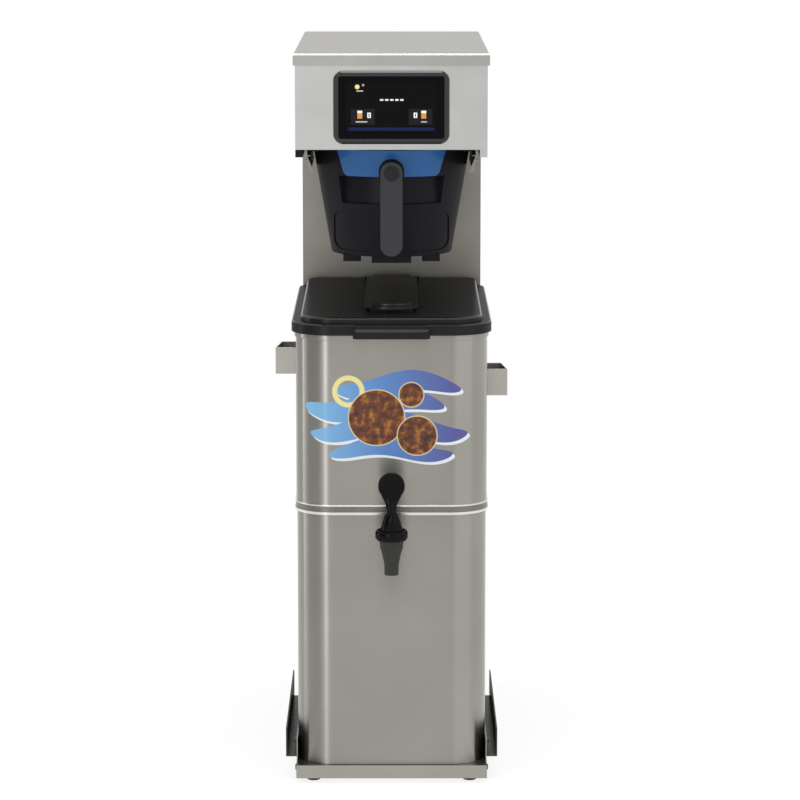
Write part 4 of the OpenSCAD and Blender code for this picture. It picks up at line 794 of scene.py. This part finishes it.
# %% Twisted lever
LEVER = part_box("tap_lever")
COLLAR_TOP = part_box("tap_collar")[1].z / MM
KNOB_Z, KNOB_RADIUS, KNOB_THICK = 379.0, 16, 8.6
TAP_Y = depth(-44)
lever = cad_copy("tap_lever")
edit(lever)
bpy.ops.mesh.select_all(action="SELECT")
bpy.ops.mesh.bisect(plane_co=(0, 0, (COLLAR_TOP + 0.9) * MM), plane_no=(0, 0, 1), use_fill=True,
                    clear_outer=True)
leave()
TWIST = [
    # height, half width, half thickness, turn in degrees
    (COLLAR_TOP + 0.4, 14.0, 14.0, 0), (329.5, 12.3, 11.4, 0), (333.6, 11.2, 9.6, 4),
    (338.6, 9.7, 7.6, 14), (341.5, 8.9, 6.8, 26), (344, 8.3, 6.3, 42), (346, 7.9, 6.1, 60),
    (348, 7.7, 6.0, 80), (350, 7.6, 5.9, 100),
    (352, 7.5, 5.7, 120), (354.5, 7.3, 5.4, 140), (357, 7.3, 5.0, 158), (359.5, 8.0, 4.6, 172),
    (362, 9.4, 4.2, 180), (364.5, 10.6, 4.0, 180), (367, 11.8, 3.9, 180), (370, 13.0, 3.8, 180),
    (373, 14.2, 3.8, 180),
]
bpy.ops.object.select_all(action="DESELECT")
bpy.ops.mesh.primitive_circle_add(vertices=48, radius=MM, fill_type="NGON",
                                  location=(0, TAP_Y, TWIST[0][0] * MM))
blade = bpy.context.object
settle(blade)
edit(blade)
bpy.ops.mesh.select_all(action="SELECT")
last = (TWIST[0][0], 1.0, 1.0, 0)
for height, wide, thick, turn in TWIST:
    pivot = {"center_override": (0, TAP_Y, height * MM)}
    if height > last[0]:
        bpy.ops.mesh.extrude_region_move(TRANSFORM_OT_translate={"value": (0, 0, (height - last[0]) * MM)})
    bpy.ops.transform.rotate(value=math.radians(-last[3]), orient_axis="Z", **pivot)
    bpy.ops.transform.resize(value=(wide / last[1], thick / last[2], 1), **pivot)
    bpy.ops.transform.rotate(value=math.radians(turn), orient_axis="Z", **pivot)
    last = (height, wide, thick, turn)
bpy.ops.mesh.select_all(action="SELECT")
bpy.ops.mesh.normals_make_consistent(inside=False)
leave()
bpy.ops.object.select_all(action="DESELECT")
bpy.ops.mesh.primitive_cylinder_add(vertices=72, radius=KNOB_RADIUS * MM, depth=KNOB_THICK * MM,
                                    location=(0, TAP_Y, KNOB_Z * MM),
                                    rotation=(math.radians(90), 0, 0))
knob = bpy.context.object
settle(knob)
round_edges(knob, 2.2, 5, lambda p: True)
edit(knob, "FACE")
leave()
for f in knob.data.polygons:
    f.select = f.normal.y < -0.99
bpy.ops.object.mode_set(mode="EDIT")
bpy.ops.mesh.inset(thickness=1.6 * MM, depth=0)
bpy.ops.mesh.inset(thickness=0.3 * MM, depth=-0.3 * MM)
leave()
join(lever, blade, knob)
smooth(lever, 50)
dress(lever, "tap_lever", tap_black)
low = min(v.co.z for v in lever.data.vertices) / MM
high = max(v.co.z for v in lever.data.vertices) / MM
print("lever from", round(low, 1), "to", round(high, 1),
      "CAD", round(LEVER[0].z / MM, 1), round(LEVER[1].z / MM, 1))

# %% [markdown]
# ## Finishes for the solids that stay as they are
#
# Screws, pins, wires and everything inside the housing keep the form of the CAD solids.

# %% Materials of the CAD solids
KEPT = {
    dull_steel: ["base_bottom_plate", "tank_shelf"],
    # The side screws take the darker steel: painted shade.
    darkened_screw_steel: ["side_screws"],
    bright_steel: ["foot_studs", "column_screws", "panel_screws", "handle_screws",
                   "tap_pin", "tap_stem", "flap_pin", "heating_tank", "heating_tank_lid", "spray_head",
                   "temperature_probe", "level_probe"],
    element_steel: ["heating_element"],
    brass: ["board_standoffs", "spray_head_nut"],
    hose_silicone: ["spray_hose", "inlet_hose"],
    valve_plastic: ["dispense_valve", "inlet_valve"],
    module_grey: ["display_module"],
    board_green: ["control_board"],
    nylon_black: ["terminal_block"],
    wire_steel: ["filter_basket"],
    cup_silicone: ["seat_cup", "shank_washers"],
    nut_nylon: ["shank_nut"],
    screen_glass: ["display_glass"],
}
for material, names in KEPT.items():
    for name in names:
        mesh = NODES[name].data
        mesh.materials.clear()
        mesh.materials.append(material)
print(sum(len(v) for v in KEPT.values()), "CAD solids keep their form")

# %% [markdown]
# ## Light, floor and background
#
# The background is white where the camera, the metal or the glass looks at it. For everything
# else the world is an even pale light. The lamps only shape the form.

# %% World
def looked_at(tree):
    """One for a ray of the camera, of a reflection or of a view through glass, else nought."""
    path = add(tree, "ShaderNodeLightPath")
    clear = add(tree, "ShaderNodeMath",
                {0: path.outputs["Is Camera Ray"], 1: path.outputs["Is Transmission Ray"]},
                operation="MAXIMUM")
    return add(tree, "ShaderNodeMath", {0: clear.outputs[0], 1: path.outputs["Is Glossy Ray"]},
               operation="MAXIMUM").outputs[0]


world = bpy.data.worlds.new("white_studio")
bpy.context.scene.world = world
world.use_nodes = True
tree = world.node_tree
tree.nodes.clear()
studio = add(tree, "ShaderNodeBackground", None, {"Color": (1, 0.995, 0.985, 1), "Strength": 0.7})
white = add(tree, "ShaderNodeBackground", None, {"Color": (1, 1, 1, 1), "Strength": 1.0})
both = add(tree, "ShaderNodeMixShader", {0: looked_at(tree), 1: studio.outputs[0], 2: white.outputs[0]})
add(tree, "ShaderNodeOutputWorld", {"Surface": both.outputs[0]})
print("world", world.name)

# %% [markdown]
# The floor is matt white. A share of its brightness to the camera is plain white, so that it
# meets the background without a line and still darkens in the shadow of the machine.

# %% Floor
bpy.ops.object.select_all(action="DESELECT")
bpy.ops.mesh.primitive_plane_add(size=14, location=(0, 0, 0))
floor = bpy.context.object
floor.name = "studio_floor"
floor_mat = bpy.data.materials.new("matt_white_floor")
floor_mat.use_nodes = True
tree = floor_mat.node_tree
shader = tree.nodes["Principled BSDF"]
shader.inputs["Base Color"].default_value = (0.8, 0.8, 0.8, 1)
shader.inputs["Roughness"].default_value = 0.9
shader.inputs["Specular IOR Level"].default_value = 0.0
share = add(tree, "ShaderNodeMath", {0: looked_at(tree)}, {1: 0.7}, operation="MULTIPLY")
glow = add(tree, "ShaderNodeEmission", None, {"Color": (1, 1, 1, 1), "Strength": 1.18})
mixed = add(tree, "ShaderNodeMixShader", {0: share.outputs[0], 1: shader.outputs[0], 2: glow.outputs[0]})
tree.links.new(mixed.outputs[0], tree.nodes["Material Output"].inputs["Surface"])
floor.data.materials.append(floor_mat)
print("floor", floor.name)

# %% [markdown]
# Two soft boxes light from above and from the right. Two narrow strips on the left draw the
# two bright lines down the rounded corner of the tank. Three grey flags stand for the dark
# parts of a studio: one draws the darker band between the bright lines, one shades the tank's
# outer edge, and a thin one in front draws a faint upright shade on the flat.

# %% Lamps and flags
def lamp(name, place, aim, width, height, watts):
    data = bpy.data.lights.new(name, "AREA")
    data.shape = "RECTANGLE"
    data.size = width
    data.size_y = height
    data.energy = watts
    obj = bpy.data.objects.new(name, data)
    bpy.context.scene.collection.objects.link(obj)
    obj.location = place
    obj.rotation_euler = (Vector(aim) - Vector(place)).to_track_quat("-Z", "Y").to_euler()


def around(degrees, far, z):
    """A place at an angle to the left of the front, seen from the tank's front."""
    turn = math.radians(degrees)
    return (-far * math.sin(turn), depth(0) - far * math.cos(turn), z)


MIDDLE = (0, 0, 0.45)
TANK_FRONT = (0, depth(0), 0.4)
lamp("top_softbox", (0.0, -0.5, 2.9), (0.0, -0.3, 0), 1.4, 0.9, 20)
lamp("right_softbox", around(-47, 3.0, 0.9), MIDDLE, 3.0, 2.4, 9)
lamp("left_front_strip", around(26, 3.0, 0.7), TANK_FRONT, 0.6, 2.6, 15)
lamp("left_rear_strip", around(104, 3.0, 0.7), TANK_FRONT, 0.3, 2.6, 7)


def flag(name, degrees, far, width, brightness):
    """A grey board that only metal and gloss can see."""
    bpy.ops.object.select_all(action="DESELECT")
    bpy.ops.mesh.primitive_plane_add(size=1)
    board = bpy.context.object
    board.name = name
    board.scale = (width, 2.8, 1)
    board.location = around(degrees, far, 0.9)
    board.rotation_euler = (Vector(TANK_FRONT) - Vector(board.location)).to_track_quat("-Z", "Y").to_euler()
    settle(board)
    felt = bpy.data.materials.new(name + "_felt")
    felt.use_nodes = True
    glow = add(felt.node_tree, "ShaderNodeEmission", None, {"Color": (1, 1, 0.98, 1), "Strength": brightness})
    felt.node_tree.links.new(glow.outputs[0], felt.node_tree.nodes["Material Output"].inputs["Surface"])
    board.data.materials.append(felt)
    board.visible_camera = False
    board.visible_diffuse = False
    board.visible_shadow = False


flag("left_flag", 66, 2.8, 2.4, 0.2)
flag("rear_flag", 128, 2.8, 2.0, 0.6)
flag("thin_flag", -6.5, 3.2, 0.26, 0.45)
